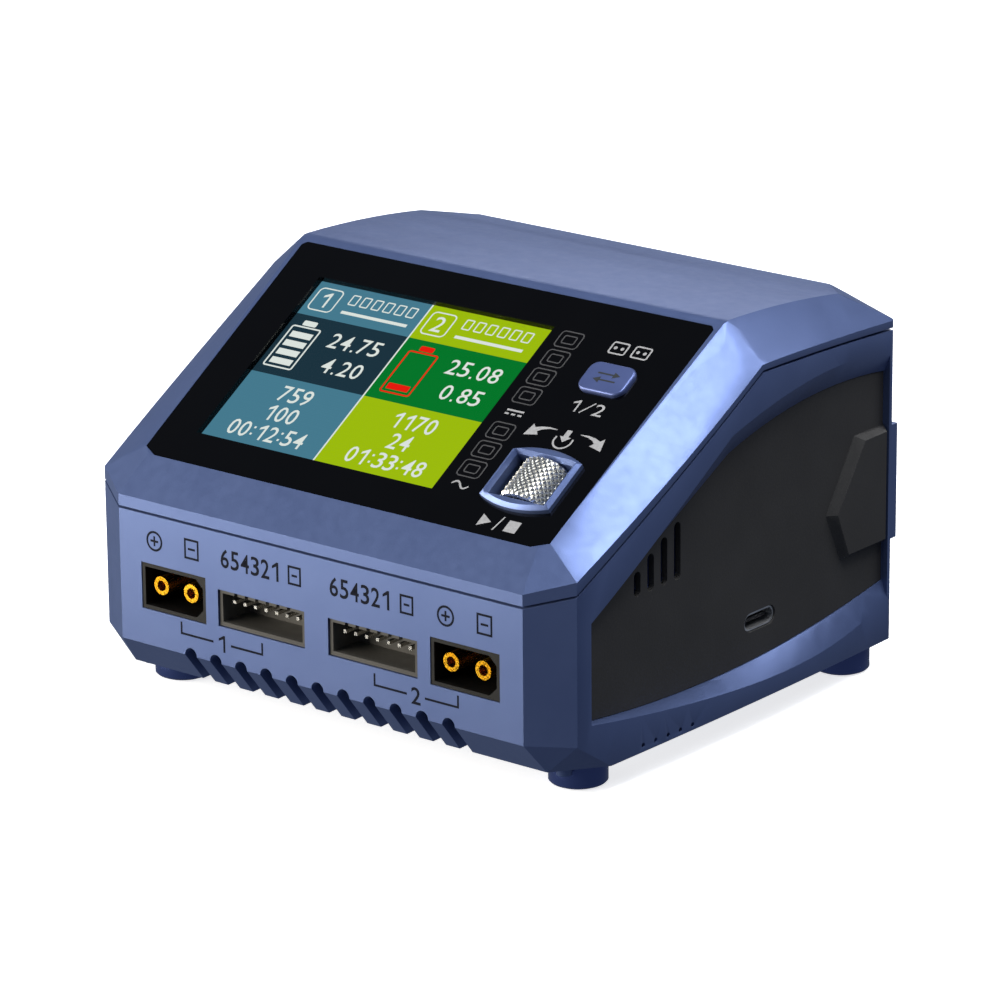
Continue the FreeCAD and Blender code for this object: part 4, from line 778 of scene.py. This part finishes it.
def make_front_marks():
    """Polarity signs over the outputs, cell figures over the headers, and port brackets."""
    marks = Drawing()
    for x in (-38.4, 29.8):
        plus_sign(marks, x, SIGN_LEVEL - 0.2)
    for x in (-29.4, 38.5):
        minus_sign(marks, x, SIGN_LEVEL, 3.5, 3.9)
    for x in (-4.9, 21.0):
        minus_sign(marks, x, SIGN_LEVEL, 3.1, 3.6)
    for centre in (-15.4, 10.3):
        marks.figures("654321", 3.6, (centre, SIGN_LEVEL - 0.1), 2.4, 0.012)
    bracket(marks, -32.3, -24.6, -20.4, -12.9, "1")
    bracket(marks, 13.4, 20.8, 24.9, 32.4, "2")
    marks.solid("front_marks", FRONT, INK_LOW, INK_HIGH, FRONT_INK)


def plus_sign(marks, x, y):
    """A plus in a ring."""
    for radius in (1.95, 1.52):
        marks.outline(arc_points(x, y, radius, 0, 345, 23))
    arm, line = 0.95, SIGN_LINE / 2
    corners = [(-line, arm), (line, arm), (line, line), (arm, line), (arm, -line), (line, -line),
               (line, -arm), (-line, -arm), (-line, -line), (-arm, -line), (-arm, line), (-line, line)]
    marks.outline([(x + a, y + b) for a, b in corners])


def minus_sign(marks, x, y, width, height):
    """A minus in a square."""
    marks.frame(x - width / 2, y - height / 2, x + width / 2, y + height / 2, SIGN_LINE)
    arm = width / 2 - 0.9
    marks.rectangle(x - arm, y - SIGN_LINE / 2, x + arm, y + SIGN_LINE / 2)


def bracket(marks, start, gap_start, gap_end, end, number):
    """A bracket that joins an output and its header, with the port's number in its gap."""
    high, low = 12.1, 9.9
    marks.stroke([(start, high), (start, low), (gap_start, low)], SIGN_LINE)
    marks.stroke([(gap_end, low), (end, low), (end, high)], SIGN_LINE)
    marks.figures(number, 3.2, ((gap_start + gap_end) / 2, low), 2.6, 0.012)


# ---- The knurled roller ---------------------------------------------------------------------------

def make_roller():
    """A drum cut with crossed grooves, which leave rows of small pyramids."""
    low, high = slope_span("encoder_roller")
    radius = (high.x - low.x) / 2
    length = high.y - low.y
    centre = SLOPE @ Vector(((low.x + high.x) / 2, (low.y + high.y) / 2, high.z - radius))
    around, rows = 30, 7
    cut, rim = 0.42, 0.55
    knurl_half = length / 2 - rim
    step = 2 * math.pi / around
    rise = 2 * knurl_half / rows
    shape = bmesh.new()
    verts = {}

    def point(angle_index, height, r):
        """One vertex on the drum, shared by the faces that meet there."""
        turn = angle_index % (2 * around) * step / 2
        key = (angle_index % (2 * around), round(height, 4), round(r, 4))
        if key not in verts:
            verts[key] = shape.verts.new((r * math.cos(turn), height, r * math.sin(turn)))
        return verts[key]

    valley = radius - cut
    for row in range(2 * rows + 1):
        y = -knurl_half + row * rise / 2
        for i in range(around):
            a = 2 * i + row % 2
            west, east = point(a - 1, y, valley), point(a + 1, y, valley)
            tip = point(a, y, radius)
            if row < 2 * rows:
                north = point(a, y + rise / 2, valley)
                shape.faces.new((tip, north, east))
                shape.faces.new((tip, west, north))
            if row > 0:
                south = point(a, y - rise / 2, valley)
                shape.faces.new((tip, east, south))
                shape.faces.new((tip, south, west))
    ends = ((length / 2 - 0.12, valley - 0.1), (length / 2, valley - 0.5), (length / 2, 2.6),
            (length / 2 - 0.5, 2.4), (length / 2 - 0.5, 1.0))
    for side in (-1, 1):
        ring = [point(i, side * knurl_half, radius if i % 2 == 0 else valley) for i in range(2 * around)]
        for height, r in ends:
            inner = [point(i, side * height, r) for i in range(2 * around)]
            for i in range(2 * around):
                corners = (ring[i], ring[(i + 1) % len(ring)], inner[(i + 1) % len(ring)], inner[i])
                shape.faces.new(corners)
            ring = inner
        verts[("end", side)] = ring
    first, last = verts[("end", -1)], verts[("end", 1)]
    for i in range(2 * around):
        j = (i + 1) % (2 * around)
        shape.faces.new((first[i], first[j], last[j], last[i]))
    bmesh.ops.recalc_face_normals(shape, faces=shape.faces)
    turn = Matrix((U_AXIS, V_AXIS, W_AXIS)).transposed().to_4x4()
    shape.transform(Matrix.Translation(centre) @ turn @ Matrix.Scale(MM, 4))
    mesh = bpy.data.meshes.new("knurled_roller")
    shape.to_mesh(mesh)
    shape.free()
    piece = place("knurled_roller", mesh, KNURL, "encoder_roller_body")
    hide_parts("encoder_roller")


# ---- Stage, lights and camera ---------------------------------------------------------------------

CAMERA_AZIMUTH = 38.975
CAMERA_ELEVATION = 17.84
CAMERA_ROLL = -0.492
CAMERA_LENS = 197.68
CAMERA_DISTANCE = 1.0085
CAMERA_TARGET = (0.00057, 0.001, 0.0338)


def direction(azimuth, elevation):
    """The unit vector from the object towards a place; azimuth 0 is in front, 90 to the right."""
    a, e = math.radians(azimuth), math.radians(elevation)
    return Vector((math.sin(a) * math.cos(e), -math.cos(a) * math.cos(e), math.sin(e)))


def make_camera():
    """The camera at the photographed viewing angle."""
    camera = bpy.data.objects.new("camera", bpy.data.cameras.new("camera"))
    scene.collection.objects.link(camera)
    back = direction(CAMERA_AZIMUTH, CAMERA_ELEVATION)
    level = Vector((math.cos(math.radians(CAMERA_AZIMUTH)), math.sin(math.radians(CAMERA_AZIMUTH)), 0))
    upright = back.cross(level)
    roll = math.radians(CAMERA_ROLL)
    right = level * math.cos(roll) + upright * math.sin(roll)
    up = upright * math.cos(roll) - level * math.sin(roll)
    camera.matrix_world = Matrix((right, up, back)).transposed().to_4x4()
    camera.location = Vector(CAMERA_TARGET) + back * CAMERA_DISTANCE
    camera.data.lens = CAMERA_LENS
    camera.data.clip_start = 0.05
    scene.camera = camera


def area_light(name, azimuth, elevation, distance, size, power, colour=(1, 1, 1), aim=(0, 0, 0.035)):
    """A soft rectangular light that faces the object. Angles in degrees, lengths in metres, power in W."""
    data = bpy.data.lights.new(name, "AREA")
    data.shape = "RECTANGLE"
    data.size, data.size_y = size
    data.energy = power
    data.color = colour
    light = bpy.data.objects.new(name, data)
    scene.collection.objects.link(light)
    away = direction(azimuth, elevation)
    light.location = Vector(aim) + away * distance
    light.rotation_euler = (-away).to_track_quat("-Z", "Y").to_euler()


def make_lights():
    """A large soft light from the front left, one high on the right, and weak ones behind."""
    area_light("key", -44, 5, 0.9, (0.9, 0.6), 18.0, (1.0, 0.94, 0.82))
    area_light("rim", 84, 74, 0.7, (0.4, 0.42), 4.8, (0.97, 0.99, 1.0))
    area_light("edge", 138, 45, 0.8, (0.36, 0.36), 1.9)
    area_light("back", -152, 24, 0.9, (0.5, 0.14), 0.6, (0.97, 0.98, 1.0))
    world = bpy.data.worlds.new("studio")
    scene.world = world
    world.use_nodes = True
    tree = world.node_tree
    fill = tree.nodes["Background"]
    fill.inputs["Color"].default_value = (0.7, 0.8, 1.0, 1.0)
    fill.inputs["Strength"].default_value = 0.17
    seen = tree.nodes.new("ShaderNodeBackground")
    seen.inputs["Color"].default_value = (1.0, 1.0, 1.0, 1.0)
    mix = tree.nodes.new("ShaderNodeMixShader")
    path = tree.nodes.new("ShaderNodeLightPath")
    tree.links.new(path.outputs["Is Camera Ray"], mix.inputs["Fac"])
    tree.links.new(fill.outputs["Background"], mix.inputs[1])
    tree.links.new(seen.outputs["Background"], mix.inputs[2])
    tree.links.new(mix.outputs["Shader"], tree.nodes["World Output"].inputs["Surface"])


def make_floor():
    """A plain pale floor, which takes the object's shadow and doesn't light it."""
    shape = bmesh.new()
    bmesh.ops.create_grid(shape, x_segments=1, y_segments=1, size=3.0)
    mesh = bpy.data.meshes.new("floor")
    shape.to_mesh(mesh)
    shape.free()
    floor = bpy.data.objects.new("floor", mesh)
    scene.collection.objects.link(floor)
    shader = Shader("floor")
    shader.colour(shader.blend_colour(shader.noise(0.01), srgb(244, 245, 247), srgb(248, 249, 250)))
    shader.set(Roughness=0.9, Specular_IOR_Level=0.1)
    shader.principled.inputs["Emission Color"].default_value = (1.0, 1.0, 1.0, 1.0)
    shader.principled.inputs["Emission Strength"].default_value = 0.75
    mesh.materials.append(shader.material)
    floor.visible_diffuse = False
    floor.visible_glossy = False


scene.view_settings.view_transform = "Standard"
make_camera()
make_floor()
make_lights()
dress_cad_nodes()
for node, radius in ROUNDED.items():
    round_edges(node, radius)
make_lens()
make_screen()
make_lens_symbols()
make_level_outlines()
make_key()
make_key_symbol()
make_front_marks()
make_roller()
